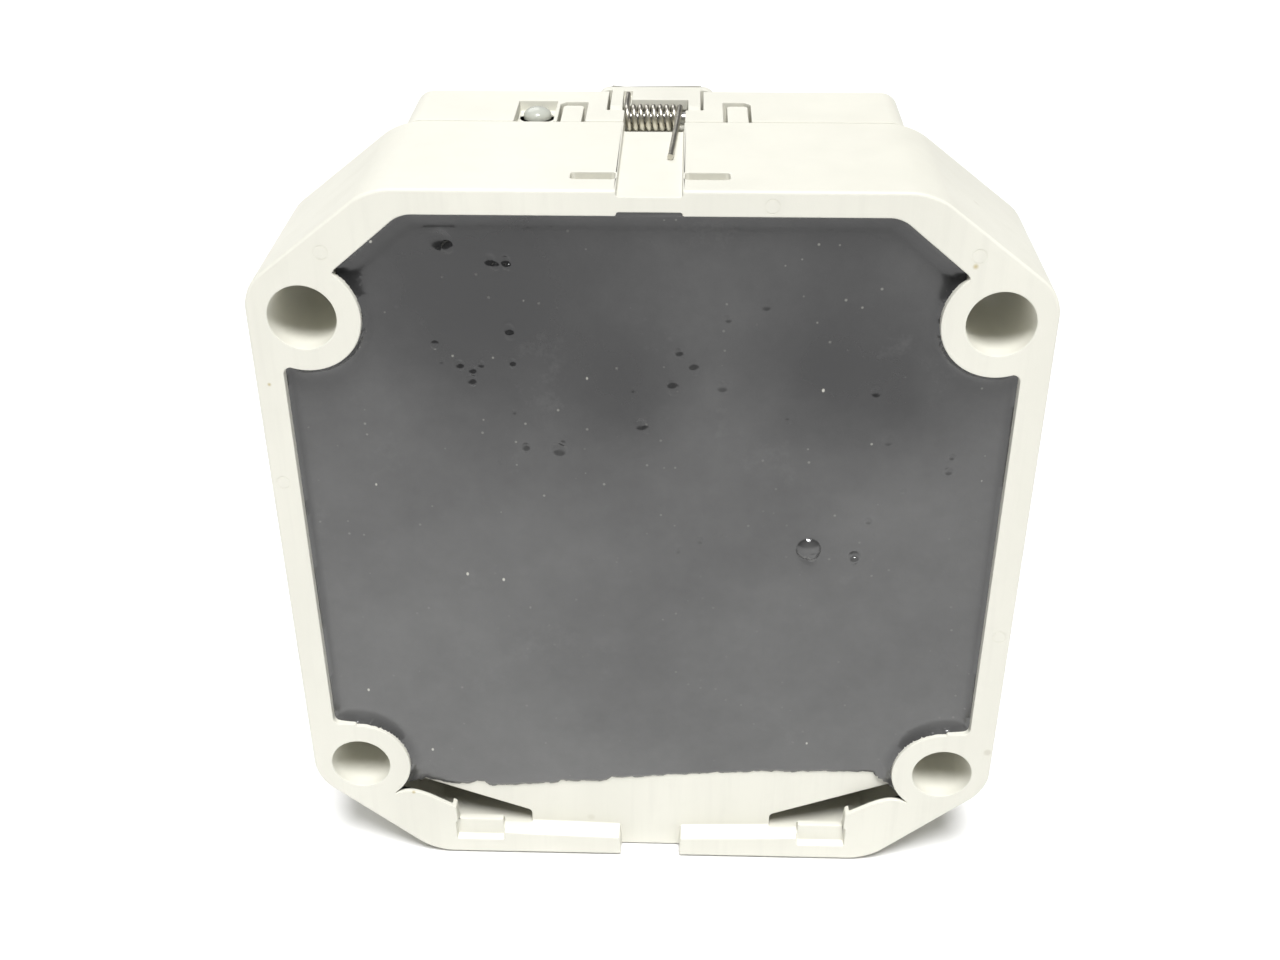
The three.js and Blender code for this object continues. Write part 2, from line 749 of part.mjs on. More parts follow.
place("rear_housing", rearHousing(), housingPlastic);
place("potting_fill", pottingFill(), pottingCompound);
place("circuit_board", circuitBoard(), boardLaminate);
place("heat_spreader", heatSpreader(), aluminium);
place("link_header", linkHeader(), switchPlastic);
mirrored((side) => {
  const number = side < 0 ? 1 : 2;
  place(`triac_${number}`, triac(side * TRIAC_X), chipResin);
  place(`optocoupler_${number}`, dualInLine(side * 8, 36, 6.4, 8.6, 3, BOARD_FRONT, 4), chipResin);
  place(`snubber_capacitor_${number}`, snubberCapacitor(side * 18), capacitorFilm);
  place(`snubber_resistor_${number}`, snubberResistor(side * 22), resistorLacquer);
  place(`varistor_${number}`, varistor(side * 16), varistorCoat);
});

place("front_cover", frontCover(), housingPlastic);
place("control_board", controlBoard(), boardLaminate);
place("control_chip", controlChip(), chipResin);
place("setting_potentiometer", settingPotentiometer(), switchPlastic);
place("setting_dial", settingDial(), dialPlastic);
place("button_switch", buttonSwitch(), switchPlastic);
place("test_button", testButton(), buttonPlastic);
place("indicator_led", indicatorLed(), lensPlastic);
place("indicator_lens", indicatorLens(), lensPlastic);
place("front_label", frontLabel(), labelFilm);

place("cover_flap", coverFlap(), housingPlastic);
place("flap_hinge_pin", flapHingePin(), platedSteel);
place("flap_torsion_spring", flapTorsionSpring(), springSteel);

place("terminal_block", terminalBlock(), blockPlastic);
terminalCentres().forEach((x, index) => {
  place(`terminal_lug_${index + 1}`, terminalLug(x), tinnedBrass);
  place(`clamp_washer_${index + 1}`, clampWasher(x), platedSteel);
  place(`terminal_screw_${index + 1}`, terminalScrew(x), platedSteel);
});

relay.position.set(0, -DEPTH / 2, 0);

export default relay;
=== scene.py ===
"""Potted solid state relay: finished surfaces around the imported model, laid out as an add-on."""

import json
import math
from contextlib import contextmanager

import bmesh
import bpy
import numpy as np
from mathutils import Matrix, Vector


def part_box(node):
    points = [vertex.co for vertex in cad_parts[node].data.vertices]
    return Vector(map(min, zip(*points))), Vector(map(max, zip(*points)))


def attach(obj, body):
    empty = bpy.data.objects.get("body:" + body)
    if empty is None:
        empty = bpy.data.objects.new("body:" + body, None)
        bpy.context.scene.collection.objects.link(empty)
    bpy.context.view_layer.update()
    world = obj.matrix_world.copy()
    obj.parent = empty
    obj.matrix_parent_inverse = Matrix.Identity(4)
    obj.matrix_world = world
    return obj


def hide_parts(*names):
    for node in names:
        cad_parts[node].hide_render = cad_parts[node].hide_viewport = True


bl_info = {
    "name": "Potted relay",
    "version": (1, 0, 0),
    "blender": (4, 5, 0),
    "location": "3D View > Sidebar > Relay",
    "description": "Builds the finished pieces of a potted solid state relay",
    "category": "Add Mesh",
}

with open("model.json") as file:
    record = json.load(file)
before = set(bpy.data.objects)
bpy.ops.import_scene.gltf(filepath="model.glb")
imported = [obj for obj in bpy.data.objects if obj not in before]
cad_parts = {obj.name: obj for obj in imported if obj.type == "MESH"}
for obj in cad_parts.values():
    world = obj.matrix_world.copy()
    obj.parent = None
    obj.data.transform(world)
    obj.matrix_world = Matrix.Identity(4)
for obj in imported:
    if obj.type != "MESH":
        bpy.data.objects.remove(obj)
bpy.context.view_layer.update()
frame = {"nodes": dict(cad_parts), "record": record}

MM = 0.001
HOUSING_LOW, HOUSING_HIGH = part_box("rear_housing")
COVER_LOW, COVER_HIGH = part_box("front_cover")
BLOCK_LOW, BLOCK_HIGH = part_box("terminal_block")
FLAP_LOW, FLAP_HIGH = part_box("cover_flap")
PIN_LOW, PIN_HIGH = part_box("flap_hinge_pin")
BACK = HOUSING_LOW.y
HALF_WIDTH = HOUSING_HIGH.x / MM
HEIGHT = HOUSING_HIGH.z / MM
TRAY_DEPTH = 23.5
COVER_BACK = TRAY_DEPTH + 0.05
COVER_FRONT = (COVER_HIGH.y - BACK) / MM
TOWER_HALF = COVER_HIGH.x / MM
HINGE_DEPTH = ((PIN_LOW.y + PIN_HIGH.y) / 2 - BACK) / MM
HINGE_Z = (PIN_LOW.z + PIN_HIGH.z) / 2 / MM
PIN_RADIUS = (PIN_HIGH.z - PIN_LOW.z) / 2 / MM
ROUND = 96  # sides of a large round surface
SMALL_ROUND = 48


# --- places and modelling helpers -----------------------------------------------------------------
# Lengths in the helpers are millimetres. A depth is measured forward from the mounting face.


def at(x, depth, z):
    return Vector((x * MM, BACK + depth * MM, z * MM))


def deselect():
    if bpy.context.object and bpy.context.object.mode != "OBJECT":
        bpy.ops.object.mode_set(mode="OBJECT")
    bpy.ops.object.select_all(action="DESELECT")


def pick(obj):
    deselect()
    obj.select_set(True)
    bpy.context.view_layer.objects.active = obj


@contextmanager
def editing(obj, select_all=False):
    pick(obj)
    bpy.ops.object.mode_set(mode="EDIT")
    bpy.ops.mesh.select_mode(type="VERT")
    bpy.ops.mesh.select_all(action="SELECT" if select_all else "DESELECT")
    yield
    bpy.ops.object.mode_set(mode="OBJECT")


def choose(obj, kind, test):
    """Selects the faces, edges or vertices of a mesh in edit mode that pass a test."""
    bpy.ops.mesh.select_mode(type={"faces": "FACE", "edges": "EDGE", "verts": "VERT"}[kind])
    bpy.ops.mesh.select_all(action="DESELECT")
    body = bmesh.from_edit_mesh(obj.data)
    for item in getattr(body, kind):
        if test(item):
            item.select_set(True)
    body.select_flush_mode()
    bmesh.update_edit_mesh(obj.data)


def settle(obj):
    """Moves the object's place, turn and size into its mesh."""
    pick(obj)
    bpy.ops.object.transform_apply(location=True, rotation=True, scale=True)
    return obj


def named(obj, name):
    obj.name = name
    obj.data.name = name
    return obj


def block(name, x, depth, z):
    """Box between two values on each axis."""
    low, high = at(x[0], depth[0], z[0]), at(x[1], depth[1], z[1])
    bpy.ops.mesh.primitive_cube_add(size=1, location=(low + high) / 2, scale=high - low)
    return settle(named(bpy.context.object, name))


def bar(name, centre, along, start, end, radius, end_radius=None, sides=ROUND):
    """Round bar or cone along x, depth or z, from start to end."""
    end_radius = radius if end_radius is None else end_radius
    turn = {"x": (0, math.pi / 2, 0), "depth": (-math.pi / 2, 0, 0), "z": (0, 0, 0)}[along]
    middle = (start + end) / 2
    place = {
        "x": lambda: at(middle, *centre),
        "depth": lambda: at(centre[0], middle, centre[1]),
        "z": lambda: at(*centre, middle),
    }[along]()
    bpy.ops.mesh.primitive_cone_add(
        vertices=sides, radius1=radius * MM, radius2=end_radius * MM, depth=(end - start) * MM,
        location=place, rotation=turn,
    )
    return settle(named(bpy.context.object, name))


def prism(name, corners, start, end, up=False):
    """Outline of x, z corners carried along the depth, or of x, depth corners carried up."""
    bpy.ops.mesh.primitive_circle_add(vertices=len(corners), radius=MM, fill_type="NGON")
    obj = named(bpy.context.object, name)
    for vertex, (x, other) in zip(obj.data.vertices, corners):
        vertex.co = at(x, other, start) if up else at(x, start, other)
    settle(obj)
    step = Vector((0, 0, end - start)) if up else Vector((0, end - start, 0))
    with editing(obj, select_all=True):
        bpy.ops.mesh.extrude_region_move(TRANSFORM_OT_translate={"value": step * MM})
        bpy.ops.mesh.select_all(action="SELECT")
        bpy.ops.mesh.normals_make_consistent(inside=False)
    return obj


def round_corners(obj, radius, test=lambda point: True, axis=1, segments=6):
    """Rounds the edges that run along one axis and whose middle passes the test."""

    def runs_along(edge):
        a, b = (vertex.co for vertex in edge.verts)
        run = b - a
        return abs(run[axis]) > 0.999 * run.length and test((a + b) / 2 / MM)

    with editing(obj):
        choose(obj, "edges", runs_along)
        bpy.ops.mesh.bevel(offset=radius * MM, segments=segments, affect="EDGES", clamp_overlap=True)
    return obj


def round_rim(obj, depth, radius, segments=4):
    """Rounds the edges of the face that lies at one depth."""
    level = at(0, depth, 0).y

    def on_rim(edge):
        flat = all(abs(vertex.co.y - level) < 1e-6 for vertex in edge.verts)
        return flat and edge.calc_face_angle(0) > math.radians(30)

    with editing(obj):
        choose(obj, "edges", on_rim)
        bpy.ops.mesh.bevel(offset=radius * MM, segments=segments, affect="EDGES", clamp_overlap=True)
    return obj


def combine(obj, operation, others):
    for other in others:
        modifier = obj.modifiers.new("combine", "BOOLEAN")
        modifier.operation = operation
        modifier.solver = "EXACT"
        modifier.object = other
        pick(obj)
        bpy.ops.object.modifier_apply(modifier=modifier.name)
        bpy.data.objects.remove(other)
    return obj


def carve(obj, *cutters):
    return combine(obj, "DIFFERENCE", cutters)


def weld(obj, *others):
    return combine(obj, "UNION", others)


def clean(obj, merge=0.02):
    with editing(obj, select_all=True):
        bpy.ops.mesh.remove_doubles(threshold=merge * MM)
        bpy.ops.mesh.dissolve_limited(angle_limit=math.radians(0.4))
        bpy.ops.mesh.dissolve_degenerate(threshold=0.001 * MM)
    return obj


def soften(obj, width, segments=2, angle=32, clamp=True):
    """Breaks every sharp edge with a small rounded bevel."""
    modifier = obj.modifiers.new("soften", "BEVEL")
    modifier.width = width * MM
    modifier.segments = segments
    modifier.limit_method = "ANGLE"
    modifier.angle_limit = math.radians(angle)
    modifier.use_clamp_overlap = clamp
    modifier.miter_outer = "MITER_ARC"
    pick(obj)
    bpy.ops.object.modifier_apply(modifier=modifier.name)
    return obj


def smooth(obj, angle=35, weighted=True):
    """Smooth shading up to an angle, with large flat faces kept flat."""
    with editing(obj, select_all=True):
        bpy.ops.mesh.delete_loose(use_verts=True, use_edges=True, use_faces=False)
    pick(obj)
    bpy.ops.object.shade_smooth_by_angle(angle=math.radians(angle))
    if weighted:
        modifier = obj.modifiers.new("flat faces", "WEIGHTED_NORMAL")
        modifier.keep_sharp = True
        modifier.weight = 80
        bpy.ops.object.modifier_apply(modifier=modifier.name)
    return obj


def finish_edges(obj, width, segments=2, angle=32):
    """Cleans a mesh after its cuts, then rounds every sharp edge and smooths the shading."""
    clean(obj)
    soften(obj, width, segments, angle, clamp=False)
    return smooth(obj)


def copy_moved(obj, name, step):
    twin = obj.copy()
    twin.data = obj.data.copy()
    bpy.context.scene.collection.objects.link(twin)
    twin.data.transform(Matrix.Translation(step))
    return named(twin, name)


def place_piece(obj, material, body, slot, *nodes):
    """Gives a piece its material and body, and lets it stand for its CAD nodes; the slot argument is not
    used.
    """
    obj.data.materials.clear()
    obj.data.materials.append(material)
    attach(obj, body)
    if nodes:
        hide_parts(*nodes)
    return obj


def both_sides(make):
    return [make(side) for side in (-1, 1)]


def span(side, near, far):
    return (side * near, side * far) if side > 0 else (side * far, side * near)


# --- settings -------------------------------------------------------------------------------------


def length(name, description, default):
    return bpy.props.FloatProperty(
        name=name, description=description, default=default * MM, min=0, precision=5,
        unit="LENGTH", subtype="DISTANCE",
    )


def tint(name, description, default):
    return bpy.props.FloatVectorProperty(
        name=name, description=description, default=default, size=3, min=0, max=1, subtype="COLOR",
    )


class HousingSettings(bpy.types.PropertyGroup):
    edge: length("Outer edge", "Radius round the front and back of the tray", 0.4)
    inner_edge: length("Inner edge", "Radius on the edges of openings", 0.22)
    corner: length("Corner", "Cut on each of the eight upright corners", 2.6)
    boss: length("Boss", "Radius of the four corner bosses", 6.85)
    bore_back: length("Bore at back", "Bore radius at the mounting face", 4.0)
    bore_front: length("Bore at front", "Bore radius at the parting line", 3.25)
    ledge: length("Ledge", "Depth of the ledge plate under the rim", 2.3)
    plastic: tint("Plastic", "Colour of the moulded housing", (0.735, 0.725, 0.645))


class CompoundSettings(bpy.types.PropertyGroup):
    level: length("Level", "Depth of the compound under the rim", 2.0)
    climb: length("Climb", "How far the compound creeps up the walls", 1.55)
    reach: length("Reach", "How far from a wall the creep begins", 1.3)
    flash: length("Flash", "Thickness of the film over the ledge plate", 0.3)
    grid: length("Grid", "Spacing of the surface points", 0.36)
    resin: tint("Resin", "Colour of the clean compound", (0.012, 0.012, 0.0125))
    # Pale end of the compound's tone: random haze, and painted reflection that is lighter towards the
    # bottom.
    haze_and_reflection: tint("Haze", "Colour where the surface is dusty", (0.125, 0.125, 0.123))


class SpringSettings(bpy.types.PropertyGroup):
    wire: length("Wire", "Radius of the spring wire", 0.35)
    coil: length("Coil", "Radius of the coil, to the middle of the wire", 1.35)
    left: length("Left end", "Distance of the coil's left end from the middle", 3.6)
    right: length("Right end", "Distance of the coil's right end from the middle", 3.1)
    turns: bpy.props.IntProperty(name="Turns", description="Turns in the coil", default=8, min=1)
    steel: tint("Steel", "Colour of the drawn wire", (0.66, 0.635, 0.56))


class FrontSettings(bpy.types.PropertyGroup):
    edge: length("Edge", "Radius on the cover's outer edges", 0.8)
    block: tint("Terminal block", "Colour of the terminal block", (0.60, 0.59, 0.53))
    dial: tint("Dial", "Colour of the setting dial", (0.06, 0.065, 0.07))
    button: tint("Button", "Colour of the test button", (0.50, 0.08, 0.035))
    label: tint("Label", "Colour of the blank label", (0.80, 0.80, 0.77))


class StageSettings(bpy.types.PropertyGroup):
    floor: tint("Floor", "Colour of the floor", (0.93, 0.93, 0.93))
    world: bpy.props.FloatProperty(name="Room", description="Strength of the room light", default=0.25)
    key: bpy.props.FloatProperty(name="Key", description="Strength of the overhead lamp", default=4.2)
    fill: bpy.props.FloatProperty(
        name="Fill", description="Strength of the lamp on the terminal side", default=0.8,
    )
    lens: bpy.props.FloatProperty(name="Lens", description="Focal length, millimetres", default=42.64)
    pitch: bpy.props.FloatProperty(
        name="Pitch", description="How far the camera looks down", default=math.radians(31.54),
        unit="ROTATION", subtype="ANGLE",
    )
    yaw: bpy.props.FloatProperty(
        name="Yaw", description="How far the camera is turned to the left", default=math.radians(1.98),
        unit="ROTATION", subtype="ANGLE",
    )
    roll: bpy.props.FloatProperty(
        name="Roll", description="How far the camera leans", default=math.radians(0.30),
        unit="ROTATION", subtype="ANGLE",
    )


# --- materials ------------------------------------------------------------------------------------


class Graph:
    """A material's nodes, with patterns read from the object's own coordinates."""

    def __init__(self, name, **values):
        self.material = bpy.data.materials.new(name)
        self.material.use_nodes = True
        self.tree = self.material.node_tree
        self.shader = self.tree.nodes["Principled BSDF"]
        self.coordinates = self.node("ShaderNodeTexCoord")
        for socket, value in values.items():
            self.feed(self.shader.inputs[socket.replace("_", " ")], value)

    def node(self, kind, **settings):
        node = self.tree.nodes.new(kind)
        for key, value in settings.items():
            setattr(node, key, value)
        return node

    def feed(self, socket, value):
        if isinstance(value, bpy.types.NodeSocket):
            self.tree.links.new(value, socket)
        elif socket.type == "RGBA" and len(value) == 3:
            socket.default_value = (*value, 1)
        else:
            socket.default_value = value

    def made(self, kind, output, inputs, **settings):
        node = self.node(kind, **settings)
        for key, value in inputs.items():
            self.feed(node.inputs[key], value)
        return node.outputs[output]

    def place(self, stretch=(1, 1, 1), shift=(0, 0, 0)):
        inputs = {"Vector": self.coordinates.outputs["Object"], "Scale": stretch, "Location": shift}
        return self.made("ShaderNodeMapping", "Vector", inputs)

    def noise(self, scale, detail=3, roughness=0.55, **place):
        inputs = {
            "Vector": self.place(**place), "Scale": scale, "Detail": detail, "Roughness": roughness,
        }
        return self.made("ShaderNodeTexNoise", "Fac", inputs)

    def cells(self, scale, output="Distance", **place):
        inputs = {"Vector": self.place(**place), "Scale": scale}
        return self.made("ShaderNodeTexVoronoi", output, inputs)

    def ramp(self, value, low, high, start=0.0, end=1.0):
        inputs = {"Value": value, "From Min": low, "From Max": high, "To Min": start, "To Max": end}
        return self.made("ShaderNodeMapRange", "Result", inputs, clamp=True)

    def maths(self, operation, first, second=0.0):
        node = self.node("ShaderNodeMath", operation=operation)
        self.feed(node.inputs[0], first)
        self.feed(node.inputs[1], second)
        return node.outputs[0]

    def mix(self, share, first, second):
        node = self.node("ShaderNodeMix", data_type="RGBA")
        for index, value in ((0, share), (6, first), (7, second)):
            self.feed(node.inputs[index], value)
        return node.outputs[2]

    def bump(self, height, distance, strength=1.0, under=None):
        inputs = {"Height": height, "Distance": distance * MM, "Strength": strength}
        if under is not None:
            inputs["Normal"] = under
        return self.made("ShaderNodeBump", "Normal", inputs)

    def axis(self, name, source="Object"):
        inputs = {"Vector": self.coordinates.outputs[source]}
        return self.made("ShaderNodeSeparateXYZ", name, inputs)

    def spot(self, centre, radius, softness=0.4):
        """1 inside a small ball round a point, 0 outside it."""
        node = self.node("ShaderNodeVectorMath", operation="DISTANCE")
        self.feed(node.inputs[0], self.coordinates.outputs["Object"])
        self.feed(node.inputs[1], centre)
        return self.ramp(node.outputs["Value"], radius * MM * (1 - softness), radius * MM, 1, 0)

    def specks(self, scale, size, share, **place):
        """Scattered dots: a cell is 1/scale wide, and a dot's size is a part of its cell."""
        dots = self.ramp(self.cells(scale, **place), size * 0.5, size, 1, 0)
        tint_of_cell = {"Color": self.cells(scale, "Color", **place)}
        draw = self.made("ShaderNodeSeparateColor", "Red", tint_of_cell)
        return self.maths("MULTIPLY", dots, self.ramp(draw, 1 - share, 1 - share + 0.02))

    def finish(self, colour=None, roughness=None, normal=None):
        for socket, value in (("Base Color", colour), ("Roughness", roughness), ("Normal", normal)):
            if value is not None:
                self.feed(self.shader.inputs[socket], value)
        return self.material


def shade(colour, factor):
    return tuple(min(1.0, channel * factor) for channel in colour)


def moulded_plastic(name, colour, stains=()):
    """Satin moulded plastic with a fine grain, faint flow marks, and drawn lines on its flat back."""
    g = Graph(name, Specular_IOR_Level=0.45)
    flow = g.noise(45, detail=4, stretch=(1, 1, 0.4))
    blotch = g.noise(260, detail=3)
    tone = g.mix(g.ramp(flow, 0.35, 0.65), shade(colour, 0.955), shade(colour, 1.02))
    tone = g.mix(g.ramp(blotch, 0.55, 0.8, 0, 0.35), tone, shade(colour, 0.93))
    lines = g.noise(900, detail=2, stretch=(1, 0.2, 0.06))
    facing_back = g.ramp(g.axis("Y", "Normal"), -0.99, -0.9, 1, 0)
    line_share = g.maths("MULTIPLY", g.ramp(lines, 0.5, 0.75), facing_back)
    tone = g.mix(g.maths("MULTIPLY", line_share, 0.35), tone, shade(colour, 0.9))
    dirt = g.specks(240, 0.16, 0.035)
    tone = g.mix(g.maths("MULTIPLY", dirt, 0.5), tone, (0.30, 0.26, 0.16))
    for centre, radius in stains:
        tone = g.mix(g.maths("MULTIPLY", g.spot(centre, radius, 0.8), 0.75), tone, (0.45, 0.36, 0.14))
    grain = g.noise(5200, detail=2)
    rough = g.ramp(blotch, 0.3, 0.7, 0.42, 0.55)
    normal = g.bump(grain, 0.012, under=g.bump(lines, 0.01))
    return g.finish(tone, rough, normal)


def cast_resin(name, clean, hazy_and_lit, low, high, shadows):
    """Black compound: glossy where it creeps up a wall, hazier and dustier where it lies flat. Painted
    reflection makes it lighter towards the bottom, and painted shade darkens its slopes and the listed
    shadow spots.
    """
    g = Graph(name, IOR=1.62)
    flat = g.ramp(g.maths("ABSOLUTE", g.axis("Y", "Normal")), 0.62, 0.94)
    # Painted reflection: the tone grows lighter towards the bottom, standing in for the lit floor near the
    # base seen in the gloss.
    height = g.ramp(g.axis("Z"), low, high, 1, 0)
    cloud = g.noise(24, detail=5, roughness=0.6, shift=(0.3, 0, 0.1))
    mottle = g.noise(170, detail=5, roughness=0.65)
    # The mask below mixes random haze with the painted reflection from the height and the painted shade
    # spots.
    haze_and_reflection = g.maths("ADD", g.maths("MULTIPLY", height, 0.56), g.ramp(cloud, 0.3, 0.7, 0.10, 0.46))
    haze_and_reflection = g.maths("ADD", haze_and_reflection, g.ramp(mottle, 0.3, 0.7, -0.05, 0.06))
    # Painted shade: each listed spot darkens the tone, standing in for a shadowed patch of floor seen in the
    # gloss.
    for centre, radius, share in shadows:
        haze_and_reflection = g.maths("SUBTRACT", haze_and_reflection, g.maths("MULTIPLY", g.spot(centre, radius, 1.0), share))
    haze_and_reflection = g.made("ShaderNodeMath", "Value", {0: haze_and_reflection, 1: 0.03, 2: 0.3}, operation="SMOOTH_MAX")
    # Painted shade: slopes, where the compound creeps up a wall, keep less of the pale tone and look darker.
    tone = g.mix(g.maths("MULTIPLY", haze_and_reflection, g.ramp(flat, 0, 1, 0.45, 1)), clean, hazy_and_lit)
    smears = g.noise(70, detail=7, roughness=0.75, shift=(0.7, 0, 0))
    smears = g.maths("MULTIPLY", g.ramp(smears, 0.60, 0.78, 0, 0.24), flat)
    tone = g.mix(smears, tone, shade(hazy_and_lit, 1.3))
    spread = g.ramp(g.noise(55, detail=3, shift=(0.2, 0, 0.5)), 0.45, 0.62, 0.25, 1)
    upper = g.ramp(g.axis("Z"), low + (high - low) * 0.45, low + (high - low) * 0.62, 0.25, 1)
    dust = g.maths("MULTIPLY", g.specks(560, 0.12, 0.45), g.maths("MULTIPLY", spread, upper))
    motes = g.specks(250, 0.055, 0.4, shift=(0.11, 0, 0.07), stretch=(1, 1, 0.7))
    tone = g.mix(g.maths("MULTIPLY", dust, 0.45), tone, (0.45, 0.45, 0.40))
    tone = g.mix(g.maths("MULTIPLY", motes, 0.75), tone, (0.62, 0.61, 0.54))
    rough = g.mix(flat, (0.07,) * 3, (0.22,) * 3)
    rough = g.maths("ADD", g.ramp(mottle, 0.3, 0.7, -0.03, 0.05), rough)
    waves = g.noise(60, detail=2)
    pimples = g.ramp(g.noise(700, detail=3), 0.52, 0.8)
    normal = g.bump(pimples, 0.03, under=g.bump(waves, 0.10))
    return g.finish(tone, rough, normal)


def drawn_metal(name, colour, stretch, roughness=0.3):
    """Bright metal with fine streaks along the axis that is stretched least."""
    g = Graph(name, Metallic=1.0)
    streak = g.noise(1500, detail=3, stretch=stretch)
    patch = g.noise(300, detail=4)
    tone = g.mix(g.ramp(streak, 0.3, 0.7), shade(colour, 0.82), shade(colour, 1.08))
    rough = g.ramp(patch, 0.3, 0.7, roughness - 0.07, roughness + 0.1)
    return g.finish(tone, rough, g.bump(streak, 0.006))


def moulded_resin(name, colour, roughness=0.45):
    """Plain moulded or dipped part: slight mottle and fine grain."""
    g = Graph(name)
    mottle = g.noise(350, detail=3)
    tone = g.mix(g.ramp(mottle, 0.3, 0.7), shade(colour, 0.88), shade(colour, 1.12))
    rough = g.ramp(mottle, 0.3, 0.7, roughness - 0.05, roughness + 0.08)
    return g.finish(tone, rough, g.bump(g.noise(4000, detail=2), 0.01))


def board_laminate(name, colour):
    """Solder mask over copper tracks."""
    g = Graph(name, Coat_Weight=0.3)
    tracks = g.ramp(g.cells(170, stretch=(1, 1, 2.2)), 0.32, 0.38)
    weave = g.noise(1800, detail=2)
    tone = g.mix(tracks, shade(colour, 1.5), colour)
    tone = g.mix(g.ramp(weave, 0.4, 0.7, 0, 0.3), tone, shade(colour, 0.7))
    return g.finish(tone, 0.35, g.bump(tracks, 0.03))


def clear_lens(name, colour):
    """Faintly milky clear plastic."""
    g = Graph(name, Transmission_Weight=0.35, IOR=1.49)
    tone = g.mix(g.ramp(g.noise(500, detail=2), 0.3, 0.7), shade(colour, 0.92), colour)
    return g.finish(tone, g.ramp(g.noise(900, detail=2), 0.3, 0.7, 0.08, 0.16))


def printed_label(name, colour, low, high):
    """Blank rating label: a plain frame line and two rules."""
    g = Graph(name, Coat_Weight=0.3, Coat_Roughness=0.15)
    x, z = g.axis("X"), g.axis("Z")
    middle, half = (low.x + high.x) / 2, (high.x - low.x) / 2
    off_side = g.maths("SUBTRACT", half, g.maths("ABSOLUTE", g.maths("SUBTRACT", x, middle)))
    from_ends = g.maths("MINIMUM", g.maths("SUBTRACT", z, low.z), g.maths("SUBTRACT", high.z, z))
    edge = g.maths("MINIMUM", off_side, from_ends)
    line = g.maths("SUBTRACT", g.ramp(edge, 1.6 * MM, 1.65 * MM), g.ramp(edge, 1.95 * MM, 2.0 * MM))
    for share in (0.36, 0.68):
        level = low.z + (high.z - low.z) * share
        near = g.maths("ABSOLUTE", g.maths("SUBTRACT", z, level))
        stripe = g.ramp(near, 0.12 * MM, 0.16 * MM, 1, 0)
        rule = g.maths("MULTIPLY", stripe, g.ramp(edge, 1.9 * MM, 2.0 * MM))
        line = g.maths("MAXIMUM", line, rule)
    tone = g.mix(g.ramp(g.noise(120, detail=4), 0.35, 0.65), shade(colour, 0.96), colour)
    return g.finish(g.mix(line, tone, (0.10, 0.11, 0.12)), 0.4, g.bump(line, 0.01))


# --- rear housing ---------------------------------------------------------------------------------

BORE_X = 40
BORE_HIGH_Z = 84.3
BORE_LOW_Z = 16.3
SIDE_WALL = 3.5
CHAMBER_TOP = 96.95
CHAMBER_CORNER_X = 27.7
CUSP = (35.6, 90.3)
STEP_HIGH = 77.8
STEP_LOW = 23.4
DIVIDER_Z = 21
FRONT_WALL_BACK = 20.5
LEDGE_FRONT = 4.8
CHANNEL_HALF = 3.65
CHANNEL_FLOOR = 99.25
POCKET_FLOOR = 96.2
WEDGE_TIP = 17
POCKET_NEAR = 20.9
POCKET_FAR = 27.2
POCKET_TOP = 5.4
TERMINAL_PITCH = 10
TERMINAL_CENTRES = [TERMINAL_PITCH * (index - 2.5) for index in range(6)]


def bore_centres():
    return [(x, z) for x in (-BORE_X, BORE_X) for z in (BORE_LOW_Z, BORE_HIGH_Z)]


def mirrored_outline(half):
    """Closed outline from its right half, listed from the top down."""
    return [*half, *((-x, z) for x, z in reversed(half))]


def chamber_half():
    side = HALF_WIDTH - SIDE_WALL
    return [
        (CHAMBER_CORNER_X, CHAMBER_TOP), CUSP, (BORE_X, BORE_HIGH_Z), (BORE_X, STEP_HIGH),
        (side, STEP_HIGH), (side, STEP_LOW), (BORE_X, STEP_LOW), (BORE_X, DIVIDER_Z),
    ]


def corner_bars(start, end, radius, end_radius=None):
    return [bar("corner", centre, "depth", start, end, radius, end_radius) for centre in bore_centres()]


def tray_blank(settings):
    outline = mirrored_outline([(31.1, HEIGHT), (HALF_WIDTH, 88), (HALF_WIDTH, 13.5), (30.9, 0)])
    blank = prism("housing_shell", outline, 0, TRAY_DEPTH)
    round_corners(blank, settings.corner / MM)
    round_rim(blank, 0, settings.edge / MM)
    round_rim(blank, TRAY_DEPTH, 0.45)
    return blank


def chamber_cutter(settings):
    cutter = prism("chamber", mirrored_outline(chamber_half()), -1, FRONT_WALL_BACK)
    round_corners(cutter, 0.9, lambda p: abs(p.x) > 42.5)
    return round_corners(cutter, 1.2, lambda p: p.z > 96)


def ledge_cutter(settings):
    """Shallow field level with the ledge plate, and the notch that opens it through the lower rim."""
    half = [
        (36.2, DIVIDER_Z + 0.5), (36.4, 10.7), (33.9, 11.6), (31.6, 11), (27.3, 8.4),
        (POCKET_FAR, POCKET_TOP), (POCKET_NEAR, POCKET_TOP), (POCKET_NEAR, 4.4),
        (WEDGE_TIP, 4.2), (4.3, 3.8), (4.1, -1),
    ]
    cutter = prism("ledge", mirrored_outline(half), -1.3, settings.ledge / MM)
    with editing(cutter):
        choose(cutter, "verts", lambda vertex: vertex.co.y < BACK and 3 < vertex.co.z / MM < 4.5)
        bpy.ops.transform.translate(value=(0, 0, -0.95 * MM))
    round_corners(cutter, 0.5, lambda p: abs(p.x) < 5 and p.z < 6)
    return round_corners(cutter, 1.4, lambda p: 30 < abs(p.x) < 34.5 and p.z < 12)


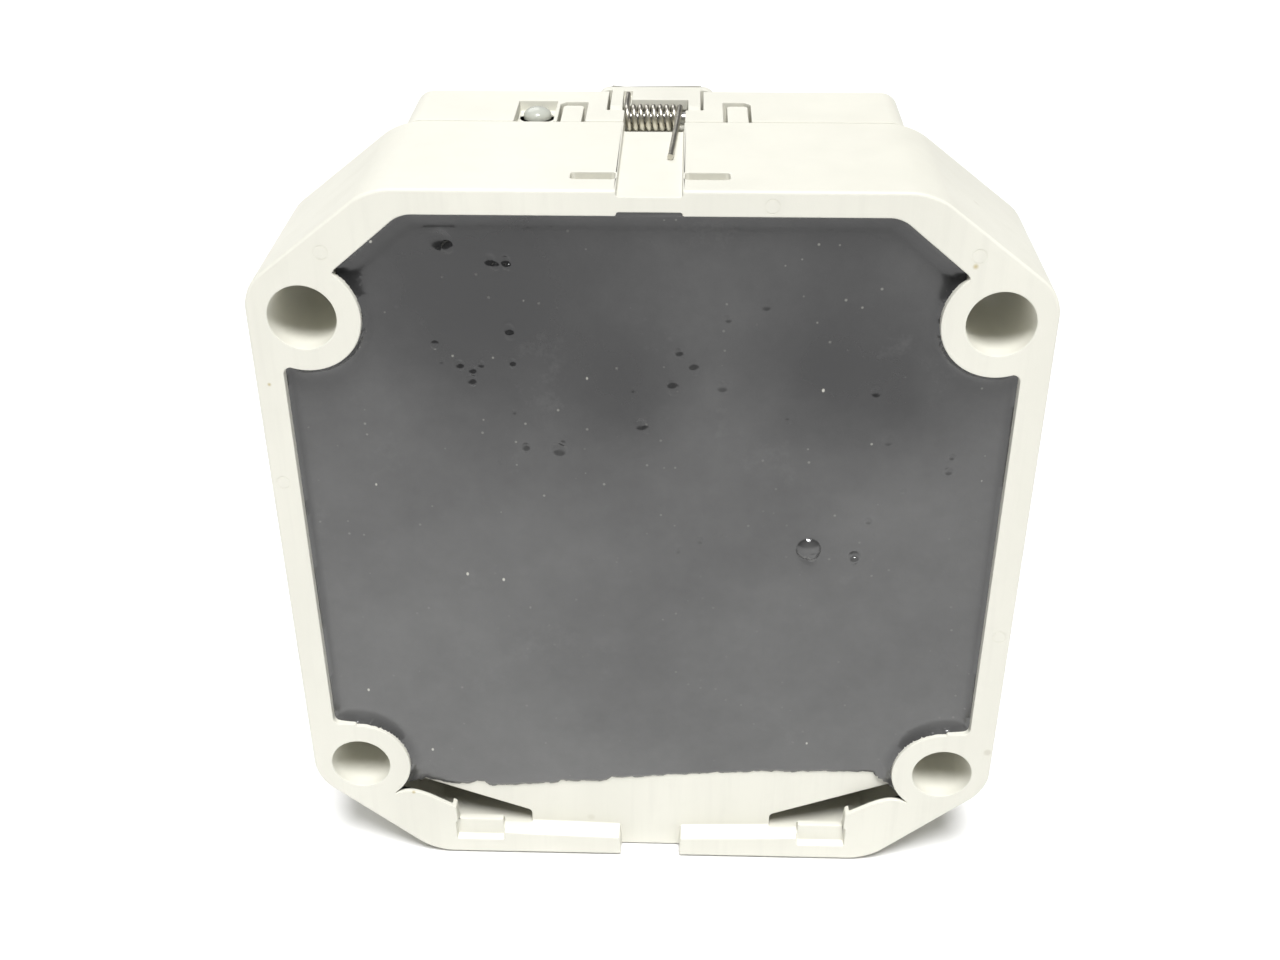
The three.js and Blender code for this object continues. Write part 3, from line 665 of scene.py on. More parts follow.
def wedge_cutter(side):
    """Deep wedge beside the ledge plate, and the room behind the thin plate of the lower corner."""
    opening = [
        (35.1, 12.95), (36.1, 10.5), (31.5, 9.9), (27.1, POCKET_TOP + 0.1),
        (POCKET_NEAR + 0.1, POCKET_TOP + 0.1), (POCKET_NEAR + 0.1, 4.5), (WEDGE_TIP, 4.5), (WEDGE_TIP, 5.95),
    ]
    room = [(35.3, 12.98), (36.6, 9), (30.6, 3.4), (WEDGE_TIP - 0.05, 3.4), (WEDGE_TIP - 0.05, 6.0)]
    corner = [(35.2, 12.85), (36.5, 9.1), (31, 4), (27.9, 6), (27.9, 10)]
    slot = prism("slot", [(side * x, z) for x, z in opening], 1.8, 3)
    round_corners(slot, 0.5, lambda p: abs(p.x) < 17.5)
    deep = prism("deep", [(side * x, z) for x, z in room], 2.05, 19)
    round_corners(deep, 0.5, lambda p: abs(p.x) < 17.5 and p.z > 5)
    weld(deep, slot, prism("corner", [(side * x, z) for x, z in corner], 0.7, 2.5))
    return carve(deep, *corner_bars(-3, TRAY_DEPTH + 2, 6.5))


def ledge_hollow():
    half = [(32.6, 18.5), (32.4, 10.6), (WEDGE_TIP, 5.4)]
    return prism("hollow", mirrored_outline(half), LEDGE_FRONT, FRONT_WALL_BACK - 0.3)


def rim_pocket(side):
    """Pocket in the lower rim beside the wedge; it overlaps its neighbours, so no thin fin is left."""
    width = span(side, POCKET_NEAR - 0.1, POCKET_FAR + 0.3)
    pocket = block("pocket", width, (-1, 1), (2.7, POCKET_TOP + 0.4))
    with editing(pocket):
        choose(pocket, "verts", lambda vertex: vertex.co.y < BACK and vertex.co.z / MM < 3)
        bpy.ops.transform.translate(value=(0, 0, -0.5 * MM))
    return round_corners(pocket, 0.4)


def wire_slit(side):
    slit = block("slit", span(side, 3.9, 8.9), (3.6, 5.8), (97.6, HEIGHT + 1))
    return round_corners(slit, 0.5, axis=2)


def hinge_channel():
    reach = (-CHANNEL_HALF, CHANNEL_HALF)
    channel = block("channel", reach, (-1, TRAY_DEPTH + 1), (CHANNEL_FLOOR, HEIGHT + 1))
    step = block("step", reach, (-1, 2), (96, 97.4))
    pocket = block("pocket", reach, (22, TRAY_DEPTH + 1), (POCKET_FLOOR, HEIGHT + 1))
    return [channel, step, pocket]


def ejector_rings():
    """Shallow rings left by the mould's ejector pins."""
    centres = [(-36.9, 92.4), (36.6, 92.6), (13.5, 98.25), (-44.95, 62), (44.95, 40)]
    rings = []
    for centre in centres:
        ring = bar("ring", centre, "depth", -0.5, 0.035, 0.9, sides=SMALL_ROUND)
        rings.append(carve(ring, bar("core", centre, "depth", -1, 1, 0.75, sides=SMALL_ROUND)))
    return rings


def snap_tongue(side):
    tongue = block("tongue", span(side, 8.95, 11.6), (TRAY_DEPTH - 1, 30.5), (98.2, 99.7))
    round_corners(tongue, 0.5, lambda p: (p.y - BACK / MM) > 30, axis=2, segments=3)
    return tongue


class RELAY_OT_housing(bpy.types.Operator):
    """Moulded tray: four bores, a ledge plate, and the channel and openings for the hinge spring"""

    bl_idname = "relay.housing"
    bl_label = "Rear housing"

    def execute(self, context):
        settings = context.scene.relay_housing
        shell = tray_blank(settings)
        # The bores are cut before the chamber, and the chamber and the ledge share one cut of the bosses.
        bores = corner_bars(-0.3, TRAY_DEPTH + 0.3, settings.bore_back / MM, settings.bore_front / MM)
        slots = [block("slot", (x - 2, x + 2), (19, 25), (23.8, 25.6)) for x in TERMINAL_CENTRES]
        link = block("link", (-7.2, 7.2), (19, 25), (50.4, 53.6))
        openings = weld(chamber_cutter(settings), ledge_cutter(settings))
        carve(openings, *corner_bars(-2, TRAY_DEPTH, settings.boss / MM))
        cutters = [
            *bores, openings, ledge_hollow(), *both_sides(wedge_cutter), *both_sides(rim_pocket),
            *both_sides(wire_slit), *hinge_channel(), *slots, link,
        ]
        for cutter in cutters:
            carve(shell, cutter)
        weld(shell, *both_sides(snap_tongue))
        clean(shell)
        soften(shell, settings.inner_edge / MM, clamp=False)
        carve(shell, *ejector_rings())
        smooth(shell)
        colour = tuple(settings.plastic)
        stains = [(at(36.3, 0, 91.4), 0.42), (at(-44.9, 0, 75.6), 0.3), (at(-33.1, 0, 11.2), 0.35)]
        plastic = moulded_plastic("housing plastic", colour, stains)
        place_piece(shell, plastic, "housing", "housing_plastic", "rear_housing")
        return {"FINISHED"}


# --- potting compound -----------------------------------------------------------------------------

# Each blemish: x, z, radius, size of its pit (a blister has a negative one), height of its lip.
BUBBLES = [
    (-23.6, 93.3, 1.45, 0.55, 0.0), (-22.9, 92.3, 0.75, -0.30, 0.0), (-18.2, 90.9, 0.85, 0.38, 0.0),
    (-17.6, 90.0, 0.55, -0.25, 0.0), (-16.4, 90.8, 0.75, 0.34, 0.0), (-16.2, 90.0, 0.5, -0.22, 0.0),
    (-11.0, 66.1, 1.00, 0.40, 0.04), (-15.1, 66.4, 0.60, 0.26, 0.04), (-15.0, 65.9, 0.45, -0.14, 0.0),
    (-1.1, 69.7, 0.90, 0.30, 0.03), (-0.4, 68.9, 0.6, -0.12, 0.0), (20.0, 51.9, 1.60, -0.85, 0.0),
    (20.6, 50.9, 0.90, -0.25, 0.0), (25.8, 50.9, 0.85, 0.38, 0.05), (25.9, 50.2, 0.5, -0.2, 0.0),
    (27.2, 56.2, 0.52, 0.18, 0.04), (36.4, 63.6, 0.62, 0.24, 0.04), (36.6, 65.6, 0.50, 0.18, 0.03),
    (-22.5, 77.6, 0.62, 0.20, 0.03), (-22.3, 77.1, 0.42, -0.12, 0.0), (-21.0, 76.9, 0.52, 0.18, 0.03),
    (-20.8, 76.4, 0.42, -0.12, 0.0), (-16.4, 82.2, 0.70, 0.22, 0.04), (-16.3, 81.3, 0.62, -0.16, 0.0),
    (-21.2, 75.6, 0.72, 0.18, 0.04), (-21.0, 75.0, 0.45, -0.14, 0.0), (-19.9, 77.6, 0.50, 0.15, 0.03),
    (-25.2, 80.0, 0.60, -0.16, 0.0), (-16.2, 77.9, 0.52, 0.17, 0.03), (-16.1, 77.4, 0.40, -0.14, 0.0),
    (-24.6, 77.9, 0.42, 0.13, 0.03), (-16.3, 71.2, 0.46, 0.17, 0.03), (3.4, 79.5, 0.55, 0.20, 0.03),
    (3.6, 78.9, 0.5, -0.14, 0.0), (5.1, 77.8, 0.65, 0.20, 0.03), (5.3, 77.0, 0.75, -0.18, 0.0),
    (8.6, 75.0, 0.85, 0.24, 0.04), (2.6, 75.3, 0.60, 0.20, 0.03), (2.8, 74.5, 0.85, -0.20, 0.0),
    (9.1, 83.8, 0.55, 0.16, 0.03), (13.4, 85.6, 0.80, 0.18, 0.03), (3.6, 51.4, 0.50, 0.14, 0.02),
    (6.3, 52.9, 0.52, 0.15, 0.02), (9.2, 53.6, 0.46, 0.12, 0.02), (26.8, 74.4, 0.72, 0.20, 0.04),
    (28.7, 67.9, 0.80, 0.16, 0.04), (-18.2, 64.0, 0.46, 0.13, 0.02), (31.2, 60.5, 0.42, 0.13, 0.02),
    (-2.0, 74.4, 0.46, 0.16, 0.02), (-10.6, 66.9, 0.4, -0.1, 0.0), (16.5, 70.2, 0.5, -0.1, 0.0),
]
# Where the thin film over the ledge plate ends.
FILM_EDGE = [
    (-35.5, 13.2), (-33.5, 12.2), (-30, 11.2), (-27, 10.6), (-25.5, 10.75), (-24.3, 11.2),
    (-23.4, 11.1), (-22.6, 10.5), (-18.4, 10.65), (-15.5, 11.1), (-13, 11.25), (-12.4, 11.75),
    (-11.8, 11.4), (-9.8, 11.6), (-7.1, 11.7), (-6, 11.8), (-5.3, 12.6), (-4.7, 12.3), (-1.4, 12.6),
    (1.4, 12.9), (7, 13.4), (12.5, 13.75), (14, 13.95), (20.9, 14.1), (27.8, 14.3), (31.4, 14.2),
    (32.7, 13.5), (33.6, 12.6), (35.5, 12.5),
]
PIT_SHARE = 0.8
FILM_BLEND = 2.2  # how far above the film's edge the surface has its full depth again
SKIN_BACK = 3.4  # where the surface's skirt ends, inside the deep compound


def segment_distance(x, z, start, end):
    """Distance from each point to the line between two places."""
    run = np.subtract(end, start)
    along = np.clip(((x - start[0]) * run[0] + (z - start[1]) * run[1]) / run.dot(run), 0, 1)
    return np.hypot(x - start[0] - along * run[0], z - start[1] - along * run[1])


def within(x, z, corners):
    """Whether each point lies inside a closed outline."""
    inside = np.zeros(x.shape, dtype=bool)
    for (x0, z0), (x1, z1) in zip(corners, [*corners[1:], corners[0]]):
        crosses = (z0 > z) != (z1 > z)
        slope = (x1 - x0) / (z1 - z0) if z1 != z0 else 0
        inside ^= crosses & (x < x0 + slope * (z - z0))
    return inside


def film_edge(x):
    """Ragged lower edge of the compound, as a height for each x."""
    points = np.array(FILM_EDGE)
    draw = np.random.default_rng(7)
    ragged = np.zeros_like(x)
    for waves in (0.9, 2.1, 3.7, 6.3):
        ragged += draw.uniform(0.03, 0.07) * np.sin(x * waves + draw.uniform(0, 2 * math.pi))
    return np.interp(x, points[:, 0], points[:, 1]) + ragged


class CompoundSurface:
    """Depth of the compound's surface at every point, from the walls that it wets and its bubbles."""

    def __init__(self, settings, boss):
        self.level = settings.level / MM
        self.climb = settings.climb / MM
        self.reach = settings.reach / MM
        self.flash = settings.flash / MM
        self.ledge = self.level + self.flash
        self.boss = boss
        draw = np.random.default_rng(11)
        self.waves = [
            (draw.uniform(0.08, 0.5), draw.uniform(0, 6.28), draw.uniform(0, 6.28)) for _ in range(9)
        ]

    def distances(self, x, z):
        side = HALF_WIDTH - SIDE_WALL
        folded = np.abs(x)
        walls = {
            "top": [(-1, CHAMBER_TOP), (CHAMBER_CORNER_X, CHAMBER_TOP)],
            "slope": [(CHAMBER_CORNER_X, CHAMBER_TOP), CUSP],
            "step": [(BORE_X, STEP_HIGH), (side, STEP_HIGH)],
            "side": [(side, STEP_HIGH), (side, STEP_LOW)],
            "foot": [(side, STEP_LOW), (BORE_X, STEP_LOW)],
        }
        gaps = {name: segment_distance(folded, z, *line) for name, line in walls.items()}
        gaps["high_boss"] = np.hypot(folded - BORE_X, z - BORE_HIGH_Z) - self.boss
        gaps["low_boss"] = np.hypot(folded - BORE_X, z - BORE_LOW_Z) - self.boss
        gaps["film"] = z - film_edge(x)
        return gaps

    def inside(self, x, z):
        """Distance to the nearest wall or to the film's edge; negative outside."""
        gaps = self.distances(x, z)
        near = np.min([gaps[name] for name in ("top", "slope", "step", "side", "foot")], axis=0)
        half = [*chamber_half()[:-1], (BORE_X, 5)]
        near = np.where(within(x, z, mirrored_outline(half)), near, -near)
        return np.min([near, gaps["high_boss"], gaps["low_boss"], gaps["film"]], axis=0)

    def depth(self, x, z):
        gaps = self.distances(x, z)
        # Share of the full climb, and how fast it falls away, at each wall.
        walls = {
            "top": (0.55, 0.45), "slope": (0.6, 0.5), "side": (0.85, 0.5), "step": (0.85, 0.5),
            "foot": (0.85, 0.5), "high_boss": (0.9, 0.62), "low_boss": (1.0, 0.75),
        }
        climbs = [
            share * self.climb * np.exp(-np.maximum(gaps[name], 0) / (self.reach * fall))
            for name, (share, fall) in walls.items()
        ]
        rise = np.sum(np.power(climbs, 4), axis=0) ** 0.25
        depth = self.level - rise
        ditch = np.minimum(gaps["top"], gaps["slope"])
        depth = depth + 0.13 * np.exp(-(((ditch - 1.75) / 0.42) ** 2))
        for size, phase_x, phase_z in self.waves:
            depth = depth + 0.035 * np.sin(x * size + phase_x) * np.sin(z * size * 0.8 + phase_z)
        film = gaps["film"]
        thin = np.clip(film / 0.9, 0, 1)
        lump = 1 - (1 - thin) ** 2
        over_plate = self.ledge + 0.25 - (self.flash + 0.25) * lump
        near_edge = np.clip(film / FILM_BLEND, 0, 1)
        low = depth * near_edge + np.minimum(over_plate, self.ledge + 0.25) * (1 - near_edge)
        low = np.where(rise > 0.15, np.minimum(low, depth + 0.05), low)
        depth = np.where(film < FILM_BLEND, low, depth)
        for px, pz, radius, pit, lip in BUBBLES:
            away = np.hypot(x - px, z - pz)
            hollow = np.clip(1 - (away / radius) ** 2, 0, 1)
            depth = depth + (PIT_SHARE * pit * hollow**1.6 if pit > 0 else pit * hollow**0.75)
            depth = depth - lip * np.exp(-(((away - radius * 1.12) / (radius * 0.28)) ** 2))
        return np.maximum(depth, 0.3)


def select_open_edges():
    bpy.ops.mesh.select_mode(type="EDGE")
    bpy.ops.mesh.select_non_manifold(
        extend=False, use_wire=False, use_multi_face=False, use_non_contiguous=False, use_verts=False,
    )


def compound_skin(settings, boss):
    """Fine grid over the chamber, moved to the compound's surface and closed behind."""
    surface = CompoundSurface(settings, boss)
    half, low, high = HALF_WIDTH - 2.6, 9.5, CHAMBER_TOP + 0.9
    step = settings.grid / MM
    bpy.ops.mesh.primitive_grid_add(
        x_subdivisions=round(2 * half / step), y_subdivisions=round((high - low) / step), size=1,
        location=at(0, settings.level / MM, (low + high) / 2), rotation=(math.pi / 2, 0, 0),
    )
    skin = named(bpy.context.object, "potting_compound")
    skin.scale = (2 * half * MM, (high - low) * MM, 1)
    settle(skin)
    overlap = -0.3
    places = read_points(skin)
    reach = surface.inside(places[:, 0], places[:, 2])
    with editing(skin):
        body = bmesh.from_edit_mesh(skin.data)
        body.verts.ensure_lookup_table()
        for vertex in body.verts:
            vertex.select_set(reach[vertex.index] < overlap)
        bmesh.update_edit_mesh(skin.data)
        bpy.ops.mesh.delete(type="VERT")
        for least in (0, 0.48):
            spots = [
                (at(px, settings.level / MM, pz), (radius * 1.5 + 0.25) * MM)
                for px, pz, radius, _, _ in BUBBLES if radius > least
            ]
            choose(skin, "faces", lambda face: any(
                (face.calc_center_median() - centre).length < close for centre, close in spots
            ))
            bpy.ops.mesh.subdivide(number_cuts=1)
    points = read_points(skin)
    points[:, 1] = BACK / MM + surface.depth(points[:, 0], points[:, 2])
    write_points(skin, points)
    with editing(skin):
        select_open_edges()
        bpy.ops.mesh.extrude_region_move(TRANSFORM_OT_translate={"value": (0, 0, 0)})
        rim = {vertex.index for vertex in bmesh.from_edit_mesh(skin.data).verts if vertex.select}
    points = read_points(skin)
    points[sorted(rim), 1] = BACK / MM + SKIN_BACK
    write_points(skin, points)
    with editing(skin):
        select_open_edges()
        bpy.ops.mesh.edge_face_add()
        bpy.ops.mesh.select_all(action="SELECT")
        bpy.ops.mesh.normals_make_consistent(inside=False)
    return skin


def read_points(obj):
    """Vertex positions in millimetres."""
    points = np.empty(len(obj.data.vertices) * 3)
    obj.data.vertices.foreach_get("co", points)
    return points.reshape(-1, 3) / MM


def write_points(obj, points):
    obj.data.vertices.foreach_set("co", (points * MM).ravel())
    obj.data.update()


def deep_compound(settings):
    """Body of the compound down to the board, with the room that the power parts take."""
    outline = mirrored_outline([(x - 0.3 * (x > 30), z) for x, z in chamber_half()])
    body = prism("deep_compound", outline, 3.2, 11.5)
    carve(body, *corner_bars(2, 13, settings.boss / MM + 0.3))
    return carve(body, block("room", (-29.6, 29.6), (3.7, 12), (41.4, 74.6)))


class RELAY_OT_compound(bpy.types.Operator):
    """Cast compound that fills the chamber, creeps up its walls and ends in a thin film on the ledge"""

    bl_idname = "relay.compound"
    bl_label = "Potting compound"

    def execute(self, context):
        settings = context.scene.relay_compound
        housing = context.scene.relay_housing
        skin = compound_skin(settings, housing.boss / MM)
        deep = deep_compound(housing)
        deselect()
        deep.select_set(True)
        skin.select_set(True)
        context.view_layer.objects.active = skin
        bpy.ops.object.join()
        smooth(skin, 50, weighted=False)
        # Painted shade: dark patches in the compound's tone where the floor that it reflects lies in shadow.
        shadows = [
            (at(-13, 2, 80), 20, 0.36), (at(-3, 2, 74), 10, 0.30), (at(-27, 2, 88), 17, 0.26),
            (at(21, 2, 78), 13, 0.30), (at(30, 2, 73), 15, 0.42), (at(-14, 2, 92), 14, 0.14),
        ]
        clean_tone, hazy_and_lit_tone = tuple(settings.resin), tuple(settings.haze_and_reflection)
        resin = cast_resin("cast resin", clean_tone, hazy_and_lit_tone, 15 * MM, CHAMBER_TOP * MM, shadows)
        place_piece(skin, resin, "housing", "potting_compound", "potting_fill")
        return {"FINISHED"}


# --- hinge pin and spring -------------------------------------------------------------------------

WIRE_STEPS = 32  # straight stretches in a turn of the coil
LEG_END = 11.7


def wire_path(settings):
    """Points along the spring wire: front leg, coil round the pin, then the leg along the channel."""
    radius = settings.coil / MM
    left, right = -settings.left / MM, settings.right / MM
    crest = HINGE_Z + radius
    points = [at(left, depth, crest) for depth in (35.3, 34.5, 33.0, 31.5)]
    steps = settings.turns * WIRE_STEPS
    for index in range(steps + 1):
        turn = 2 * math.pi * index / WIRE_STEPS
        x = left + (right - left) * index / steps
        points.append(at(x, HINGE_DEPTH - radius * math.sin(turn), HINGE_Z + radius * math.cos(turn)))
    for share in (0.08, 0.25, 0.5, 0.75, 1):
        depth = HINGE_DEPTH + (LEG_END - HINGE_DEPTH) * share
        points.append(at(right - 0.95 * share, depth, crest - 0.12 * math.sin(math.pi * share)))
    return points


def wire(name, points, radius, sides=5):
    """Round wire along a list of points, with closed ends."""
    curve = bpy.data.curves.new(name, "CURVE")
    curve.dimensions = "3D"
    curve.bevel_depth = radius
    curve.bevel_resolution = sides
    curve.use_fill_caps = True
    spline = curve.splines.new("POLY")
    spline.points.add(len(points) - 1)
    for place, point in zip(spline.points, points):
        place.co = (*point, 1)
    obj = bpy.data.objects.new(name, curve)
    bpy.context.scene.collection.objects.link(obj)
    pick(obj)
    bpy.ops.object.convert(target="MESH")
    obj = named(bpy.context.object, name)
    with editing(obj, select_all=True):
        bpy.ops.mesh.remove_doubles(threshold=0.002 * MM)
        bpy.ops.mesh.normals_make_consistent(inside=False)
    return obj


def hinge_bar(name, start, end, radius):
    return bar(name, (HINGE_DEPTH, HINGE_Z), "x", start, end, radius, sides=SMALL_ROUND)


class RELAY_OT_spring(bpy.types.Operator):
    """Torsion spring of drawn wire that closes the flap, wound round the hinge pin"""

    bl_idname = "relay.spring"
    bl_label = "Spring and pin"

    def execute(self, context):
        settings = context.scene.relay_spring
        spring = wire("torsion_spring", wire_path(settings), settings.wire)
        smooth(spring, 45)
        steel = drawn_metal("drawn spring wire", tuple(settings.steel), (1, 1, 1), 0.33)
        place_piece(spring, steel, "housing", "spring_steel", "flap_torsion_spring")

        pin = hinge_bar("hinge_pin", PIN_LOW.x / MM, PIN_HIGH.x / MM, PIN_RADIUS)
        soften(pin, 0.18, angle=60)
        smooth(pin)
        plated = drawn_metal("plated pin", (0.55, 0.55, 0.54), (0.2, 1, 1))
        place_piece(pin, plated, "housing", "plated_steel", "flap_hinge_pin")
        return {"FINISHED"}


# --- front cover ----------------------------------------------------------------------------------

PANEL_FLOOR = 31
PANEL_HALF = 20
PANEL_LOW = 62
PANEL_HIGH = 86
CONTROL_Z = 74
DIAL_X = -9
BUTTON_X = 10
LENS_X = -14.8
LENS_DEPTH = 29
LENS_POCKET_X = (-17.2, -12.4)
COVER_FOOT = 28
CAVITY_X = (-28.8, 28.8)
CAVITY_BACK = 20
CAVITY_FRONT = 29
CAVITY_LOW = 30.2
CAVITY_HIGH = 93.5
LABEL_HALF = 24
LABEL_LOW = 33
LABEL_HIGH = 57
LABEL_GAP = 0.4
LABEL_FACE = COVER_FRONT + 0.3
TICK_INNER = 7.3
TICK_OUTER = 8.7
TICK_LONG = 9.2


def snap_window(side):
    """Window that a snap tongue fills, with its front outer corner cut off."""
    corners = [(8.5, 23), (11.9, 23), (11.9, 30.2), (11.1, 31.1), (8.5, 31.1)]
    return prism("window", [(side * x, depth) for x, depth in corners], 97, HEIGHT + 1, up=True)


def dial_marks():
    """Raised ticks round the dial; the two end ones are longer."""
    marks = []
    for step in range(11):
        turn = math.radians(-135 + 27 * step)
        reach = (TICK_INNER, TICK_LONG if step in (0, 10) else TICK_OUTER)
        tick = block(f"tick_{step}", (-0.18, 0.18), (PANEL_FLOOR - 0.1, PANEL_FLOOR + 0.22), reach)
        to_dial = Matrix.Translation(at(DIAL_X, 0, CONTROL_Z))
        tick.data.transform(to_dial @ Matrix.Rotation(turn, 4, "Y") @ Matrix.Translation(-at(0, 0, 0)))
        marks.append(tick)
    return marks


class RELAY_OT_cover(bpy.types.Operator):
    """Front cover with the sunken control panel, snap windows and the pocket for the hinge"""

    bl_idname = "relay.cover"
    bl_label = "Front cover"

    def execute(self, context):
        settings = context.scene.relay_front
        half = TOWER_HALF
        outline = [(-half, COVER_FOOT), (half, COVER_FOOT), (half, HEIGHT), (-half, HEIGHT)]
        shell = prism("cover_shell", outline, COVER_BACK, COVER_FRONT)
        round_corners(shell, 2.2, lambda p: p.z > 60)
        round_corners(shell, 1.3, lambda p: p.z < 40)
        round_rim(shell, COVER_FRONT, settings.edge / MM, segments=5)
        past_front, past_top = COVER_FRONT + 1, HEIGHT + 1
        width = (-PANEL_HALF, PANEL_HALF)
        panel = block("panel", width, (PANEL_FLOOR, past_front), (PANEL_LOW, PANEL_HIGH))
        round_corners(panel, 2)
        collar = carve(
            bar("collar", (DIAL_X, CONTROL_Z), "depth", PANEL_FLOOR - 0.5, PANEL_FLOOR + 0.9, 6.95),
            bar("inside", (DIAL_X, CONTROL_Z), "depth", PANEL_FLOOR, PANEL_FLOOR + 2, 6.35),
        )
        guard = bar("guard", (BUTTON_X, CONTROL_Z), "depth", PANEL_FLOOR - 0.5, PANEL_FLOOR + 1.6, 4.3)
        carve(
            shell, panel,
            block("cavity", CAVITY_X, (CAVITY_BACK, CAVITY_FRONT), (CAVITY_LOW, CAVITY_HIGH)),
            block("lower_cavity", CAVITY_X, (CAVITY_BACK, 34), (CAVITY_LOW, 59.5)),
            block("coil_pocket", (-3.75, 3.75), (CAVITY_BACK, CAVITY_FRONT), (POCKET_FLOOR, past_top)),
            block("yoke_pocket", (-6, 6), (27.95, past_front), (POCKET_FLOOR, past_top)),
            block("led_pocket", LENS_POCKET_X, (CAVITY_BACK, 31.2), (88.2, CAVITY_HIGH)),
            block("lens_recess", LENS_POCKET_X, (CAVITY_BACK, 31.4), (98.6, past_top)),
            block(
                "label_recess", (-LABEL_HALF - LABEL_GAP, LABEL_HALF + LABEL_GAP),
                (COVER_FRONT - 0.12, past_front), (LABEL_LOW - LABEL_GAP, LABEL_HIGH + LABEL_GAP),
            ),
            *both_sides(snap_window),
        )
        weld(shell, collar, guard, *dial_marks())
        carve(
            shell,
            hinge_bar("pin_bore", PIN_LOW.x / MM - 0.2, PIN_HIGH.x / MM + 0.2, PIN_RADIUS + 0.08),
            bar("dial_bore", (DIAL_X, CONTROL_Z), "depth", 28, 31.5, 1.9, sides=SMALL_ROUND),
            bar("button_bore", (BUTTON_X, CONTROL_Z), "depth", 28, 34, 3.2, sides=SMALL_ROUND),
            bar("lens_bore", (LENS_X, LENS_DEPTH), "z", 92, past_top, 2.05, sides=SMALL_ROUND),
        )
        finish_edges(shell, 0.2)
        plastic = moulded_plastic("cover plastic", tuple(context.scene.relay_housing.plastic))
        place_piece(shell, plastic, "housing", "housing_plastic", "front_cover")
        return {"FINISHED"}


class RELAY_OT_label(bpy.types.Operator):
    """Blank rating label on the lower part of the cover"""

    bl_idname = "relay.label"
    bl_label = "Label"

    def execute(self, context):
        settings = context.scene.relay_front
        width, height = (-LABEL_HALF, LABEL_HALF), (LABEL_LOW, LABEL_HIGH)
        label = block("rating_label", width, (COVER_FRONT - 0.05, LABEL_FACE), height)
        round_corners(label, 1.2, segments=8)
        round_rim(label, LABEL_FACE, 0.08, segments=2)
        smooth(label)
        low, high = at(-LABEL_HALF, 0, LABEL_LOW), at(LABEL_HALF, 0, LABEL_HIGH)
        film = printed_label("label film", tuple(settings.label), low, high)
        place_piece(label, film, "housing", "label_film", "front_label")
        return {"FINISHED"}


# --- flap -----------------------------------------------------------------------------------------

FLAP_BACK = 36.4
FLAP_FACE = 38.2
FLAP_HALF = FLAP_HIGH.x / MM
FLAP_FOOT = FLAP_LOW.z / MM
FLAP_TOP = FLAP_HIGH.z / MM


def flap_arm(side):
    hub = bar("hub", (HINGE_DEPTH, HINGE_Z), "x", *span(side, 4.1, 5.7), 1.6, sides=SMALL_ROUND)
    web = block("web", span(side, 4.1, 5.7), (HINGE_DEPTH, FLAP_FACE - 0.4), (98.5, FLAP_TOP))
    return weld(hub, web)


class RELAY_OT_flap(bpy.types.Operator):
    """Sprung flap over the controls, with its hinge arms and a ribbed thumb tab"""

    bl_idname = "relay.flap"
    bl_label = "Cover flap"

    def execute(self, context):
        shoulder = FLAP_TOP - 4
        half = [(7, FLAP_TOP), (9, shoulder), (FLAP_HALF, shoulder), (FLAP_HALF, FLAP_FOOT)]
        panel = prism("flap_panel", mirrored_outline(half), FLAP_BACK, FLAP_FACE)
        round_corners(panel, 2.2, lambda p: abs(p.x) > 20, segments=8)
        round_corners(panel, 0.9, lambda p: abs(p.x) < 10)
        round_rim(panel, FLAP_FACE, 0.5)
        web = block("web", (-5.7, 5.7), (32.4, FLAP_FACE - 0.4), (98.5, FLAP_TOP))
        tab = block("tab", (-7, 7), (FLAP_FACE - 0.5, 40), (62, 64))
        raised = (FLAP_FACE - 0.4, FLAP_FACE + 0.35)
        ribs = [block("rib", (x - 0.3, x + 0.3), raised, (65.2, 69.5)) for x in range(-6, 7, 2)]
        recess = block("recess", (-16.5, 16.5), (FLAP_FACE - 0.3, FLAP_FACE + 1), (73, 91))
        round_corners(recess, 1.5)
        back_recess = block("back_recess", (-18.8, 18.8), (FLAP_BACK - 1, FLAP_BACK + 0.5), (63, 93.6))
        round_corners(back_recess, 1.5)
        carve(panel, recess, back_recess)
        weld(panel, web, tab, *ribs, *both_sides(flap_arm))
        carve(
            panel,
            hinge_bar("pin_bore", -7, 7, PIN_RADIUS + 0.1),
            block("leg_groove", (-4.15, -3.05), (31, 36), (99.15, HEIGHT + 1)),
        )
        finish_edges(panel, 0.15)
        plastic = moulded_plastic("flap plastic", shade(tuple(context.scene.relay_housing.plastic), 0.97))
        place_piece(panel, plastic, "flap", "housing_plastic", "cover_flap")
        return {"FINISHED"}


# --- dial, button and lens ------------------------------------------------------------------------

DIAL_BACK = 31.3
DIAL_FACE = 35.2
DIAL_NOTCHES = 24
NOTCH_CIRCLE = 6.15
BUTTON_FACE = 34.7
DISH_DEPTH = 0.25
DISH_RADIUS = 9
DOME_STEPS = 8


